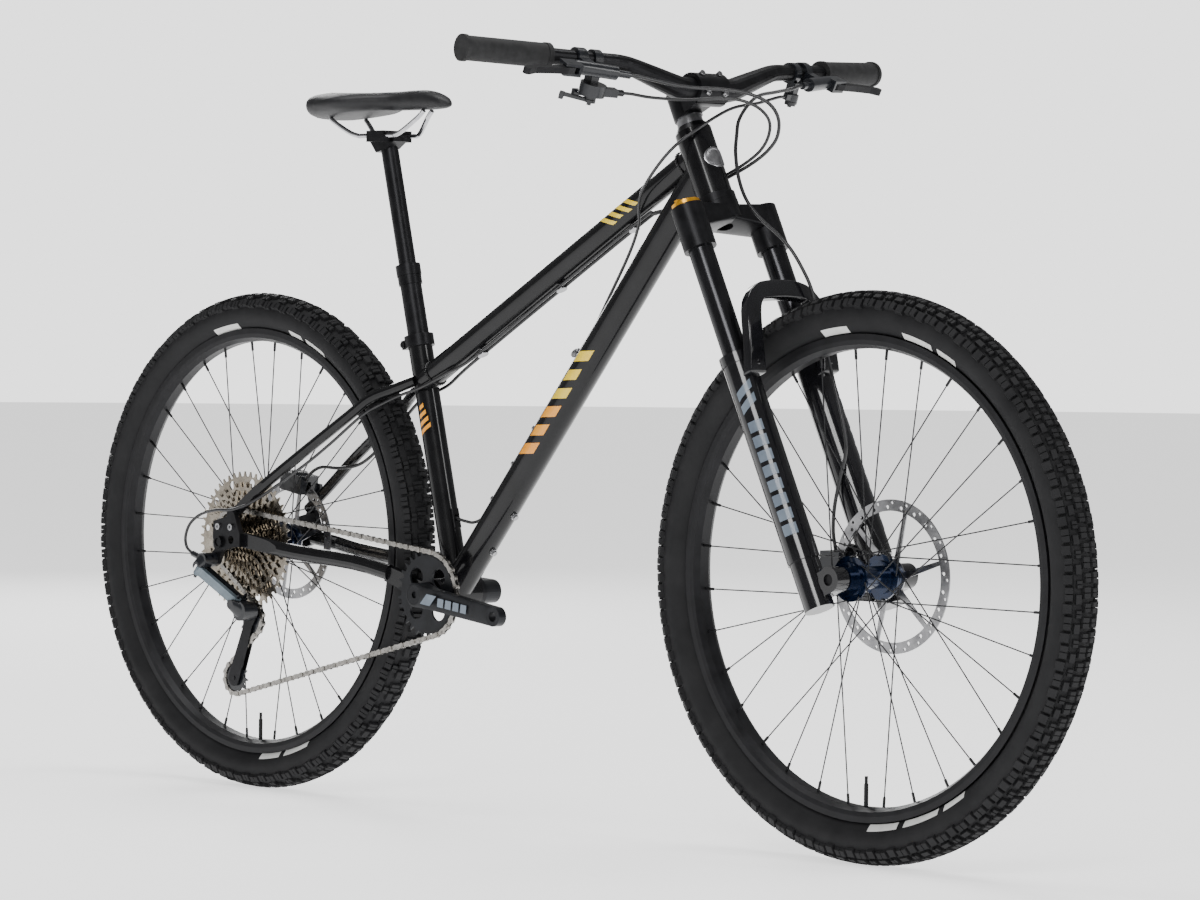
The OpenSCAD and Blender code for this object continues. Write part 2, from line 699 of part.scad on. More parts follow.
crown_low = axle_to_crown - 67;
leg_y = leg_spacing / 2;
stanchion_r = stanchion_d / 2;
lower_top = crown_low - fork_travel - 6;
lower_r = stanchion_r + 5.2;
stem_low = head_top + 20;
stem_h = 44;
steerer_top = stem_low + stem_h - 3;
module fork_crown() {
    color("#1d1d20") about_steer() difference() {
        union() {
            cylinder_between(axle_to_crown, steerer_top, steerer_r);
            translate([0, 0, axle_to_crown + 3]) cylinder(h = 70, r1 = low_race_r, r2 = steerer_r);
            translate([0, 0, axle_to_crown - 24]) cylinder(h = 27, r = 28);
            both_sides() {
                hull() {
                    translate([0, 0, axle_to_crown - 24]) cylinder(h = 17, r = 26, $fn = 32);
                    translate([leg_offset, leg_y, axle_to_crown - 38]) cylinder(h = 32, r = 20, $fn = 32);
                }
                translate([leg_offset, leg_y, crown_low]) cylinder(h = 62, r = stanchion_r + 5.5);
            }
        }
        both_sides() translate([leg_offset, leg_y, crown_low - cut])
            cylinder(h = 62, r = stanchion_r + seat_fit);
        translate([0, 0, axle_to_crown - 40]) cylinder(h = steerer_top, r = 11.5);
    }
}

module cylinder_between(z0, z1, r) {
    translate([0, 0, z0]) cylinder(h = z1 - z0, r = r);
}

stanchion_low = fork_travel + 18;
module stanchions() {
    color("#2e2f33") about_steer() both_sides() translate([leg_offset, leg_y, 0]) difference() {
        cylinder_between(stanchion_low, axle_to_crown - 6.2, stanchion_r);
        cylinder_between(stanchion_low - cut, axle_to_crown, stanchion_r - 2.5);
    }
}

knob_base = crown_low + 62;
module damper_knob() {
    color("#e0a21b") about_steer() translate([leg_offset, -leg_y, knob_base + 0.1]) {
        difference() {
            cylinder(h = 6, r = 19.5);
            translate([0, 0, -cut]) cylinder(h = 10, r = 12);
        }
    }
    color("#3a3a3e") about_steer() translate([leg_offset, -leg_y, knob_base + 0.1]) {
        cylinder(h = 9, r = 11.9);
        translate([-3, -17, 6.2]) cube([6, 22, 4]);
    }
}

front_axle_r = 7.5;
drop_front_in = front_hub_w / 2 + running_fit;
axle_boss_r = 17;
// Points of the brace between the legs: on the leg, at its shoulder and on top
brace = [
    [leg_offset + 27, leg_y, lower_top - 22], [leg_offset + 42, leg_y - 6, lower_top + 50],
    [leg_offset + 43, leg_y - 27, lower_top + 74]
];
brace_r = 8.5;
module brace_ball(p) {
    translate(p) sphere(r = brace_r, $fn = 20);
}
module fork_lowers() {
    color("#1d1d20") difference() {
        union() {
            about_steer() {
                both_sides() {
                    translate([leg_offset, leg_y, 0]) {
                        cylinder_between(40, lower_top, lower_r);
                        cylinder_between(-27, 40.02, lower_r - 2);
                        cylinder_between(lower_top - 14, lower_top, lower_r + 1.5);
                    }
                    translate([fork_offset, drop_front_in, 0]) about_y() cylinder(h = 23, r = axle_boss_r);
                    translate([leg_offset, drop_front_in, -axle_boss_r + 1])
                        cube([fork_offset - leg_offset, 22, 2 * axle_boss_r - 2]);
                    for (i = [0, 1]) hull() {
                        brace_ball(brace[i]);
                        brace_ball(brace[i + 1]);
                    }
                }
                hull() both_sides() brace_ball(brace[2]);
            }
            translate([front_x, front_rotor_y, front_tyre_r]) at_rotor_edge(front_rotor_r, front_caliper_a)
                for (z = [front_caliper_half + 0.1, -front_caliper_half - 10.1])
                    translate([-46, 8, z]) cube([58, 12, 10]);
        }
        about_steer() {
            both_sides() translate([leg_offset, leg_y, 12])
                cylinder(h = lower_top, r = stanchion_r + running_fit);
            translate([fork_offset, 0, 0]) about_y()
                cylinder(h = 2 * leg_spacing, r = front_axle_r + running_fit, center = true);
            translate([fork_offset, 0, 0]) about_y()
                cylinder(h = 2 * drop_front_in, r = 27, center = true);
        }
    }
}

module front_axle() {
    color("#1d1d20") translate(front_c) {
        ring_y(-front_hub_w / 2, front_hub_w / 2, front_axle_r + 1.6, front_axle_r + seat_fit);
        ring_y(-drop_front_in - 20, drop_front_in + 23.1, front_axle_r);
        ring_y(drop_front_in + 23.1, drop_front_in + 26, 11);
    }
}

module front_caliper() {
    color("#1a1a1c") translate([front_x, front_rotor_y, front_tyre_r])
        caliper(front_rotor_r, front_caliper_a, front_caliper_half, -10);
}

// ---------- Bar, stem and controls ----------

stem_mid = stem_low + stem_h / 2;
bar_o = on_steer(stem_length, 0, stem_mid);
knee_y = 150;
knee = [-12, knee_y, bar_rise - 10];
bar_end = [-bar_sweep, bar_w / 2, bar_rise];
grip_dir = unit(bar_end - knee);
// A point on the left half of the bar, at a distance from the middle
function bar_at(y) = bar_o + knee + grip_dir * ((y - knee_y) / grip_dir.y);
bar_taper = 27;
bar_half_clamp = 36;
bar_wall = 2.2;
grip_start = knee + bar_taper * grip_dir;
// The left half's axis, from the clamp's edge through the bends to the end, and the whole bar's
bar_left = concat(curve([
    [0, bar_half_clamp, 0], [0, 46, 0.5], [-2, 62, 4.5], [-9, 125, 24], [-12, 143, 28.6],
    knee + 8 * grip_dir, grip_start
], 2), [bar_end]);
bar_path = concat(
    [for (i = [len(bar_left) - 1 : -1 : 0]) [bar_left[i].x, -bar_left[i].y, bar_left[i].z]], bar_left);
// The bar's radius along its axis: full in the clamp, then easing down to the grip
bar_radii = [for (p = bar_path) let (
    t = min(1, max(0, (abs(p.y) - bar_half_clamp) / (grip_start.y - bar_half_clamp))))
    bar_clamp_d / 2 + (bar_grip_d - bar_clamp_d) / 2 * t * t * (3 - 2 * t)];
// A tube swept along a path as one closed shell, with its outer radius at each point
module swept_tube(path, radii, wall, sides, n0) {
    dirs = side_dirs(path, n0);
    last = len(path) - 1;
    inner = len(path) * sides;
    points = [
        for (in_out = [0, wall]) for (i = [0 : last]) let (n = dirs[i], b = cross(heading(path, i), n))
            for (k = [0 : sides - 1]) let (a = 360 * k / sides)
                path[i] + (radii[i] - in_out) * (cos(a) * n + sin(a) * b)
    ];
    faces = [
        for (k = [0 : sides - 1]) let (j = (k + 1) % sides) each concat(
            [for (i = [0 : last - 1]) [i * sides + j, i * sides + k, (i + 1) * sides + k,
                (i + 1) * sides + j]],
            [for (i = [0 : last - 1]) [inner + i * sides + k, inner + i * sides + j,
                inner + (i + 1) * sides + j, inner + (i + 1) * sides + k]],
            [[k, j, inner + j, inner + k], [last * sides + j, last * sides + k,
                inner + last * sides + k, inner + last * sides + j]])
    ];
    polyhedron(points = points, faces = faces);
}
module handlebar() {
    color("#222225") translate(bar_o) swept_tube(bar_path, bar_radii, bar_wall, 20, [0, 0, 1]);
}

// Carries a shape to the left half of the bar, with X forward, Y outboard along the bar and Z up
module on_bar(y) {
    translate(bar_at(y)) rotate([asin(grip_dir.z), 0, atan2(-grip_dir.x, grip_dir.y)]) children();
}

module grips() {
    color("#2c2c2e") both_sides() on_bar(bar_w / 2) difference() {
        union() {
            ring_y(-grip_len, 3, grip_d / 2);
            ring_y(-grip_len - 7, -grip_len, grip_d / 2 + 1);
            ring_y(-2, 4, grip_d / 2 + 1.5);
        }
        ring_y(-grip_len - 20, 0.1, bar_grip_d / 2 + seat_fit);
    }
}

module stem() {
    color("#1d1d20") about_steer() difference() {
        union() {
            translate([0, 0, stem_low]) cylinder(h = stem_h - 4, r = 20);
            translate([0, -17, stem_low + 4]) cube([stem_length - 10, 34, stem_h - 12]);
            translate([stem_length, 0, stem_mid]) about_y() cylinder(h = 56, r = 22.5, center = true);
        }
        translate([0, 0, stem_low - cut]) cylinder(h = stem_h + 2, r = steerer_r + seat_fit);
        translate([stem_length, 0, stem_mid]) about_y()
            cylinder(h = 80, r = bar_clamp_d / 2 + seat_fit, center = true);
        translate([stem_length + 3, -40, stem_low - 10]) cube([1.6, 80, stem_h + 20]);
        translate([stem_length - 40, -8.5, stem_mid - 30]) cube([80, 17, 4]);
        translate([-32, -0.8, stem_low - cut]) cube([20, 1.6, stem_h]);
    }
}

module steerer_spacer() {
    color("#b9b9bd") about_steer() difference() {
        translate([0, 0, head_top + 9]) cylinder(h = 10.95, r1 = 18.5, r2 = 17.5);
        translate([0, 0, head_top]) cylinder(h = 30, r = steerer_r + seat_fit);
    }
    color("#1d1d20") about_steer() translate([0, 0, stem_low + stem_h - 2.9]) cylinder(h = 4, r = 18);
}

// Brake levers: the body's place along the bar, its tilt and the blade's pivot
lever_y = 215;
lever_tilt = 26;
pivot = [38, 36, 0];
blade_half = 4.4;
clamp_bore_r = bar_grip_d / 2 + seat_fit;
cylinder_turn = 9;
module on_lever() {
    on_bar(lever_y) rotate([0, lever_tilt, 0]) children();
}
module lever_body() {
    on_lever() {
        difference() {
            union() {
                ring_y(-7, 7, 15.2);
                translate([11, -9, -7]) cube([22, 16, 14]);
                translate([34, 0, 0]) rotate([0, 0, cylinder_turn]) {
                    ring_y(-38, 24, 9.5);
                    ring_y(-58, -37, 5);
                }
                translate([27, 20, -8.6]) cube([19, 27, 17.2]);
            }
            ring_y(-20, 20, clamp_bore_r);
            translate([24, 24.5, -blade_half - 0.3]) cube([40, 60, 2 * blade_half + 0.6]);
            translate(pivot) cylinder(h = 40, r = 2.5, center = true);
        }
        translate(pivot) cylinder(h = 17.6, r = 2.45, center = true);
    }
}
module lever_bodies() {
    color("#1f1f22") both_sides() lever_body();
}
module lever_blade() {
    on_lever() translate([0, 0, -blade_half]) difference() {
        union() {
            linear_extrude(height = 2 * blade_half) polygon([
                [32, 30], [39, 27], [46, 31], [49, 43], [52, 68], [57, 98], [64, 112], [62, 117],
                [54, 114], [49, 101], [44, 70], [40, 50], [33, 42]
            ]);
            translate([59, 114, 0]) cylinder(h = 2 * blade_half, r = 5);
        }
        translate([pivot.x, pivot.y, -cut]) cylinder(h = 30, r = 2.45 + running_fit);
    }
}
module left_brake_lever() {
    color("#1f1f22") lever_blade();
}
module right_brake_lever() {
    color("#1f1f22") mirror([0, 1, 0]) lever_blade();
}

// Shifter on the right and dropper lever on the left, both under the bar
pod_y = 190;
pod_tilt = 20;
thumb_x = 12;
thumb_pin_r = 3;
module on_pod() {
    on_bar(pod_y) rotate([0, pod_tilt, 0]) children();
}
module thumb_pin(low) {
    translate([thumb_x, 0, low]) cylinder(h = -30 - low, r = thumb_pin_r);
}
module control_bodies() {
    color("#1f1f22") mirror([0, 1, 0]) on_pod() {
        difference() {
            union() {
                ring_y(-6, 6, 14.5);
                translate([-4, -6, -30]) cube([18, 12, 20]);
                translate([thumb_x, 0, -44]) cylinder(h = 16, r = 18);
                translate([thumb_x, -34, -42]) cube([13, 30, 11]);
                translate([thumb_x + 6, -34, -36.5]) ring_y(-11, 1, 4.5);
            }
            ring_y(-20, 20, clamp_bore_r);
        }
        thumb_pin(-58);
    }
    color("#1f1f22") on_pod() {
        difference() {
            union() {
                ring_y(-6, 6, 14.5);
                translate([2, -6, -30]) cube([14, 12, 20]);
                translate([thumb_x, 0, -36]) cylinder(h = 10, r = 9);
                translate([thumb_x - 2, -20, -34]) cube([7, 16, 8]);
            }
            ring_y(-20, 20, clamp_bore_r);
        }
        thumb_pin(-45);
    }
}
module thumb_paddle(reach, swing, height, low) {
    translate([thumb_x, 0, 0]) rotate([0, 0, swing]) difference() {
        union() {
            translate([0, 0, low]) cylinder(h = height, r = 8);
            translate([-reach, -5, low]) cube([reach, 10, height]);
            translate([-reach - 3, -8, low - 4]) cube([6, 16, height + 4]);
        }
        translate([0, 0, low - cut]) cylinder(h = height + 2 * cut, r = thumb_pin_r + running_fit);
    }
}
module downshift_paddle() {
    color("#29292c") mirror([0, 1, 0]) on_pod() thumb_paddle(38, -52, 4, -54);
}
module upshift_paddle() {
    color("#29292c") mirror([0, 1, 0]) on_pod() thumb_paddle(28, -6, 4, -49);
}
module remote_paddle() {
    color("#29292c") on_pod() thumb_paddle(38, -60, 5, -42);
}

// ---------- Wheels ----------

bead_gap = 0.1;
casing_t = 3.6;
function rim_edge() = rim_inner_r + rim_depth;
module tyre(r, w) {
    half = w / 2;
    mid = r - half;
    about_y() rotate_extrude($fn = 96) {
        difference() {
            translate([mid, 0]) circle(r = half);
            translate([mid - 2.4, 0]) circle(r = half - casing_t - 2.4);
            translate([0, -w]) square([rim_edge() + bead_gap, 2 * w]);
        }
        for (s = [-1, 1]) translate([rim_edge() - 6.6, s * (rim_w / 2 - 4.6) - 1.5]) square([7.2, 3]);
    }
}
module rim() {
    h = rim_w / 2;
    about_y() rotate_extrude($fn = 96) difference() {
        polygon([
            [rim_inner_r, -8], [rim_inner_r + 5, -h + 1], [rim_edge() - 8, -h], [rim_edge(), -h],
            [rim_edge(), -h + 2.9], [rim_edge() - 6.9, -h + 2.9], [rim_edge() - 8, -h + 9],
            [rim_edge() - 10, -5], [rim_edge() - 10, 5], [rim_edge() - 8, h - 9],
            [rim_edge() - 6.9, h - 2.9], [rim_edge(), h - 2.9], [rim_edge(), h],
            [rim_edge() - 8, h], [rim_inner_r + 5, h - 1], [rim_inner_r, 8]
        ]);
        polygon([
            [rim_inner_r + 2.5, -6], [rim_inner_r + 7, -h + 3], [rim_edge() - 10, -h + 3.5],
            [rim_edge() - 12, -4], [rim_edge() - 12, 4], [rim_edge() - 10, h - 3.5],
            [rim_inner_r + 7, h - 3], [rim_inner_r + 2.5, 6]
        ]);
    }
}
module valve() {
    translate([0, 0, -rim_inner_r + 0.1]) cylinder(h = 30, r = 3);
    translate([0, 0, -rim_inner_r + 30.1]) cylinder(h = 10, r = 2.2);
}
module front_tyre() {
    color("#252527") translate(front_c) tyre(front_tyre_r, front_tyre_w);
}
module rear_tyre() {
    color("#252527") translate(rear_c) tyre(rear_tyre_r, rear_tyre_w);
}
module front_rim() {
    color("#202023") translate(front_c) rim();
    color("#b08a3c") translate(front_c) valve();
}
module rear_rim() {
    color("#202023") translate(rear_c) rim();
    color("#b9b9bd") translate(rear_c) valve();
}

flange_t = 3.2;
flange_hole_r = 28.5;
nipple_len = 13;
cross_angle = 67.5;
// One spoke and its nipple, from the hub's flange to the rim
module spoke(from, to) {
    v = to - from;
    len_v = norm(v);
    r = spoke_d / 2;
    translate(from) rotate([0, acos(v.z / len_v), atan2(v.y, v.x)]) rotate_extrude() polygon([
        [0, 0], [r, 0], [r, len_v - nipple_len], [r + 1, len_v - nipple_len], [r + 1, len_v], [0, len_v]
    ]);
}
function wheel_point(r, a, y) = [r * sin(a), y, r * cos(a)];
module spokes(flange_right, flange_left) {
    step = 360 / spoke_count;
    side = flange_t / 2 + spoke_d / 2 + 0.9;
    for (i = [0 : spoke_count / 4 - 1]) for (s = [0, 1]) let (
        y = s == 0 ? flange_right : flange_left, out = s == 0 ? -1 : 1, a = (4 * i + s) * step + step / 2)
    {
        spoke(wheel_point(flange_hole_r, a, y + out * side),
            wheel_point(rim_inner_r - 0.5, a + cross_angle, out * 2));
        spoke(wheel_point(flange_hole_r, a + 2 * step, y - out * side),
            wheel_point(rim_inner_r - 0.5, a + 2 * step - cross_angle, out * 2));
    }
}
front_flanges = [-35, 25];
rear_flanges = [-21, 36];
module front_spokes() {
    color("#1c1c1e") translate(front_c) spokes(front_flanges[0], front_flanges[1]);
}
module rear_spokes() {
    color("#1c1c1e") translate(rear_c) spokes(rear_flanges[0], rear_flanges[1]);
}
// A hub shell about Y: its flanges, its barrel and its rotor seat
module hub_shell(y0, flanges, rotor_y, bore_r) {
    difference() {
        union() {
            ring_y(y0, rotor_y - rotor_t / 2 - 0.05, 15);
            for (y = flanges) ring_y(y - flange_t / 2, y + flange_t / 2, flange_hole_r + 1.5);
            for (y = flanges) ring_y(y - 5, y + 5, 22);
            ring_y(rotor_y - rotor_t / 2 - 6, rotor_y - rotor_t / 2 - 0.05, 21);
        }
        ring_y(y0 - cut, rotor_y + 10, bore_r);
    }
    ring_y(rotor_y - rotor_t / 2 - 0.05, rotor_y + 4.5, 15.8, bore_r);
    ring_y(rotor_y + rotor_t / 2 + 0.05, rotor_y + rotor_t / 2 + 2.6, 20, 15.85);
}
module front_hub() {
    color("#16233a") translate(front_c)
        hub_shell(-front_hub_w / 2 + 5, front_flanges, front_rotor_y, front_axle_r + 1.6 + running_fit);
}
module rear_hub() {
    color("#16233a") translate(rear_c)
        hub_shell(rear_flanges[0] - 6, rear_flanges, rear_rotor_y, sleeve_r + running_fit);
}
rotor_arms = 6;
module rotor(r, y) {
    track = 15;
    side_view(y - rotor_t / 2, y + rotor_t / 2) difference() {
        union() {
            difference() {
                circle(r = r);
                circle(r = r - track);
            }
            circle(r = 24);
            for (i = [0 : rotor_arms - 1]) rotate(i * 360 / rotor_arms) polygon([
                [18, -4], [r - track + 2, 20], [r - track + 2, 26], [18, 6]
            ]);
        }
        circle(r = 15.85);
        for (i = [0 : 23]) rotate(i * 15) {
            translate([r - 4.5, 0]) circle(r = 2);
            rotate(5) translate([r - 10, 0]) circle(r = 2.6);
        }
    }
}
module front_rotor() {
    color("#a5a5a9") translate(front_c) rotor(front_rotor_r, front_rotor_y);
}
module rear_rotor() {
    color("#a5a5a9") translate(rear_c) rotor(rear_rotor_r, rear_rotor_y);
}

// ---------- Drivetrain ----------

cog_t = 1.7;
carrier_r = 17;
module cog(teeth, y, phase, bore_r) {
    side_view(y - cog_t / 2, y + cog_t / 2) difference() {
        polygon(toothed(teeth, phase));
        circle(r = bore_r);
        if (teeth > 26) for (i = [0 : 11]) rotate(30 * i + teeth)
            translate([pitch_r(teeth) - 13, 0]) circle(r = min(6, pitch_r(teeth) * 0.08));
    }
}
module cassette() {
    color("#9a948a") translate(rear_c) {
        cog(cog_teeth, -chain_line, mesh_phase(0), carrier_r - 0.5);
        for (i = [0 : len(small_cogs) - 1])
            cog(small_cogs[i], -chain_line - (i + 1) * cog_gap, 3 * i,
                carrier_r - 0.5 - (i > 3 ? 3.5 : 0));
        for (i = [0 : len(large_cogs) - 1])
            cog(large_cogs[i], -chain_line + (i + 1) * cog_gap, 2 * i, carrier_r - 0.5);
    }
    color("#77777b") translate(rear_c) {
        ring_y(-chain_line - 4 * cog_gap - 1.6, rear_flanges[0] - 6.3, carrier_r - 0.3,
            sleeve_r + running_fit);
        ring_y(-rear_hub_w / 2 + 1.2, -chain_line - 4 * cog_gap - 1.65, carrier_r - 3.8,
            sleeve_r + running_fit);
    }
}
module chainring() {
    color("#232326") translate([bb.x, 0, bb.z]) {
        side_view(-chain_line - 0.95, -chain_line + 0.95) difference() {
            polygon(toothed(ring_teeth, mesh_phase(1)));
            circle(r = pitch_r(ring_teeth) - 9);
        }
        side_view(-chain_line - 1.8, -chain_line + 1.6) difference() {
            circle(r = pitch_r(ring_teeth) - 5.6);
            for (i = [0 : 3]) rotate(45 + 90 * i) translate([33, 0]) circle(r = 13.5);
            circle(r = 15.05);
        }
    }
}

arm_dir = [cos(crank_angle), 0, -sin(crank_angle)];
pedal_r = 7;
arm_y = [-chain_line - 2.2, -77];
arm_boss_r = 17;
module crank_arm(inner_y, dir) {
    tip = bb + crank_len * dir;
    difference() {
        union() {
            hull() {
                translate(bb) ring_y(-77, inner_y, arm_boss_r, $fn = 32);
                translate(bb + 30 * dir) ring_y(-79, -64, 15, $fn = 32);
            }
            hull() {
                translate(bb + 30 * dir) ring_y(-79, -64, 15, $fn = 32);
                translate(tip) ring_y(-86, -73, 13.5, $fn = 32);
            }
            translate(tip) ring_y(-86.5, -72.5, 13.6);
        }
        translate(bb) ring_y(-100, 0, 14.55);
        translate(tip) ring_y(-100, 0, pedal_r);
    }
}
module right_crank() {
    color("#232326") {
        crank_arm(arm_y[0], arm_dir);
        translate(bb) {
            ring_y(-74, 74, spindle_r);
            ring_y(-77, -74.02, 14.4, 5);
        }
    }
}
module left_crank() {
    color("#232326") {
        mirror([0, 1, 0]) crank_arm(-bb_shell_w / 2 - cup_rim_w - 6, -arm_dir);
    }
    color("#8c8c90") translate(bb)
        ring_y(bb_shell_w / 2 + cup_rim_w + 0.4, bb_shell_w / 2 + cup_rim_w + 5.9, 17.5,
            spindle_r + seat_fit);
}

// The chain's plates as two bands, with a roller on each pitch
function band(off) = [for (i = [0 : link_count * 2 - 1]) chain_at(i * link_step / 2, off)];
module chain() {
    color("#a9a49b") {
        for (y = [-chain_line - plate_out, -chain_line + plate_in])
            side_view(y, y + plate_out - plate_in) difference() {
                polygon(band(plate_half));
                polygon(band(-plate_half));
            }
        for (i = [0 : link_count - 1]) let (c = chain_at(i * link_step))
            translate([c.x, 0, c.y])
                ring_y(-chain_line - plate_in + 0.05, -chain_line + plate_in - 0.05, roller_r);
    }
}

// Derailleur: the parallelogram's pivots are square to the links and to the wheel's axle
shift_a = [rear_x - 24, -102, rear_tyre_r - 42];
link_vec = [54, 27, -46];
link_gap = [0, 12, 0];
shift_axis = unit([-link_vec.z, 0, link_vec.x]);
pivot_pin_r = 2.5;
ear = 8;
lower_pivot = shift_a + link_vec;
cage_pivot = [rear_x + 48, 0, rear_tyre_r - 101];
cable_stop = [hanger_c.x - 33, -94, hanger_c.y + 8];
module shift_pin(p, h, r) {
    rod(p - h * shift_axis, p + h * shift_axis, r);
}
module derailleur_knuckle() {
    color("#232326") {
        translate([hanger_c.x, 0, hanger_c.y]) ring_y(-drop_out + 0.7, -drop_in, 5);
        for (p = [shift_a, shift_a + link_gap]) shift_pin(p, 14, pivot_pin_r);
        difference() {
            union() {
                hull() {
                    translate([hanger_c.x, 0, hanger_c.y]) ring_y(-104, -83, 9, $fn = 32);
                    translate([shift_a.x + 2, 0, shift_a.z + 6]) ring_y(-110, -83, 7, $fn = 32);
                }
                translate([hanger_c.x, 0, hanger_c.y]) ring_y(-105, -drop_out + 0.8, 10.5);
                rod([hanger_c.x - 6, -94, hanger_c.y], cable_stop, 4.5);
            }
            hull() for (p = [shift_a, shift_a + link_gap])
                rod(p - 9 * shift_axis, p + 9 * shift_axis, 9, $fn = 32);
            for (p = [shift_a, shift_a + link_gap]) shift_pin(p, 30, pivot_pin_r);
        }
    }
}
module shift_link(a) {
    difference() {
        union() {
            for (p = [a, a + link_vec]) shift_pin(p, ear - 0.3, 5.5);
            hull() for (p = [a, a + link_vec]) rod(p - 7 * shift_axis, p + 7 * shift_axis, 3.4, $fn = 32);
        }
        for (p = [a, a + link_vec]) shift_pin(p, 30, pivot_pin_r + running_fit);
    }
}
module derailleur_outer_link() {
    color("#8f99a1") shift_link(shift_a);
}
module derailleur_inner_link() {
    color("#232326") shift_link(shift_a + link_gap);
}
module derailleur_lower_knuckle() {
    color("#1d1d20") {
        for (p = [lower_pivot, lower_pivot + link_gap]) shift_pin(p, 14, pivot_pin_r);
        difference() {
            union() {
                translate([cage_pivot.x, 0, cage_pivot.z]) ring_y(-84, -59, 14);
                hull() {
                    translate([cage_pivot.x, 0, cage_pivot.z]) ring_y(-82, -62, 12, $fn = 32);
                    translate(lower_pivot + [4, 0, -3]) ring_y(-15, 15, 7, $fn = 32);
                }
            }
            hull() for (p = [lower_pivot, lower_pivot + link_gap])
                rod(p - 9 * shift_axis, p + 9 * shift_axis, 9, $fn = 32);
            for (p = [lower_pivot, lower_pivot + link_gap]) shift_pin(p, 30, pivot_pin_r);
        }
    }
}
cage_in = 3.4;
cage_t = 1.6;
module cage_outline() {
    hull() {
        translate(guide_c) circle(r = 11, $fn = 32);
        translate([cage_pivot.x, cage_pivot.z]) circle(r = 9, $fn = 32);
    }
    hull() {
        translate(guide_c) circle(r = 9, $fn = 32);
        translate(tension_c) circle(r = 12, $fn = 32);
    }
}
module derailleur_cage() {
    color("#1d1d20") {
        for (y = [-chain_line - cage_in - cage_t, -chain_line + cage_in]) side_view(y, y + cage_t)
            difference() {
                cage_outline();
                for (c = [guide_c, tension_c]) translate(c) circle(r = 3);
            }
        for (c = [guide_c, tension_c]) translate([c.x, 0, c.y])
            ring_y(-chain_line - cage_in - cage_t - 1, -chain_line + cage_in + cage_t + 1, 2.95);
        translate([cage_pivot.x, 0, cage_pivot.z])
            ring_y(-58.9, -chain_line - cage_in - cage_t + 0.02, 8);
    }
}
module pulley(i) {
    c = wheel(i)[0];
    translate([c.x, 0, c.y]) {
        side_view(-chain_line - 1, -chain_line + 1) difference() {
            polygon(toothed(pulley_teeth, mesh_phase(i)));
            circle(r = 8);
        }
        ring_y(-chain_line - 3, -chain_line + 3, 8.2, 2.95 + running_fit);
    }
}
module tension_pulley() {
    color("#202022") pulley(2);
}
module guide_pulley() {
    color("#202022") pulley(3);
}

// ---------- Hoses and cable housings ----------

housing_r = 2.2;
hose_sides = 8;
front_hose_route = [
    [328.2, 165.9, 1031.4], [332, 153, 1030], [333, 138, 1026], [326, 115, 1021], [320, 88, 1015],
    [318, 68, 1000],
    [322, 48, 980], [330, 36, 960], [338, 26, 935], [352, 18, 901], [371, 14, 871], [392, 20, 846],
    [426, 32, 815], [450, 40, 780], [468, 45, 740], [494, 46, 658], [522, 44, 580], [530, 43, 540],
    [521, 43, 506], [511, 43, 466], [506, 46, 432], [509, 48, 406.2]
];
rear_hose_route = [
    [328.2, -165.9, 1031.4], [333, -152, 1030], [341, -125, 1025], [350, -80, 1019],
    [362, -30, 1018], [374, 8, 1014],
    [384, 40, 1002], [386, 58, 982], [377, 66, 958], [362, 62, 938], [340, 52, 920], [308, 40, 902],
    [268, 34, 884], [238, 26, 868], [206, 9, 855], [186, 5, 844], [17, 5, 747], [-144, 5, 653.5],
    [-192, 14, 630], [-232, 24, 611], [-272, 27, 598], [-300, 33, 588], [-338, 44, 568],
    [-400, 53, 524], [-452, 54, 492], [-490, 45, 484], [-530, 43, 484], [-558, 46, 474], [-573.6, 50, 461.3]
];
shift_route = [
    [296.6, -147.8, 1009.4], [299, -134, 1009], [312, -108, 1005], [340, -70, 1003],
    [358, -26, 1006], [368, 6, 1004],
    [376, 32, 994], [377, 50, 978], [369, 57, 958], [355, 55, 938], [334, 45, 920], [304, 33, 902],
    [266, 27, 882], [238, 18, 864], [212, -3, 855], [190, -5, 846], [17, -5, 747], [-144, -5, 653.5],
    [-192, -14, 630], [-232, -24, 610], [-272, -27, 598], [-300, -33, 587], [-338, -45, 567],
    [-400, -54, 523], [-452, -63, 488], [-536, -74, 440], [-580, -86, 422], [-612, -91, 420],
    [-644, -94, 413], [-668, -96, 398], [-679, -96, 378], [-677, -95, 362], [-664.5, -94, 353.2]
];
dropper_route = [
    [290.3, 171.8, 1018.1], [293, 158, 1017], [299, 132, 1012], [308, 100, 1006], [312, 50, 998],
    [316, 10, 984],
    [310, -24, 964], [288, -42, 942], [252, -40, 914], [216, -31, 882], [202, -22, 858],
    [190, -10, 838], [162, 0, 799], [112, 4, 728], [80, 6, 682], [50, 8, 645], [-15, 12, 561],
    [-78, 13, 485], [-112, 11, 450], [-130, 7, 428], [-148, 2, 418], [-166, 0, 419], [-187, 0, 423]
];
module rear_hose() {
    color("#17171a") sweep(curve(rear_hose_route, 2), hose_r, hose_r, hose_sides, [0, 0, 1]);
}
module shift_housing() {
    color("#17171a") sweep(curve(shift_route, 2), housing_r, housing_r, hose_sides, [0, 0, 1]);
}
module dropper_housing() {
    color("#17171a") sweep(curve(dropper_route, 3), housing_r, housing_r, hose_sides, [0, 0, 1]);
}
module front_hose() {
    color("#17171a") sweep(curve(front_hose_route, 3), hose_r, hose_r, hose_sides, [0, 0, 1]);
}

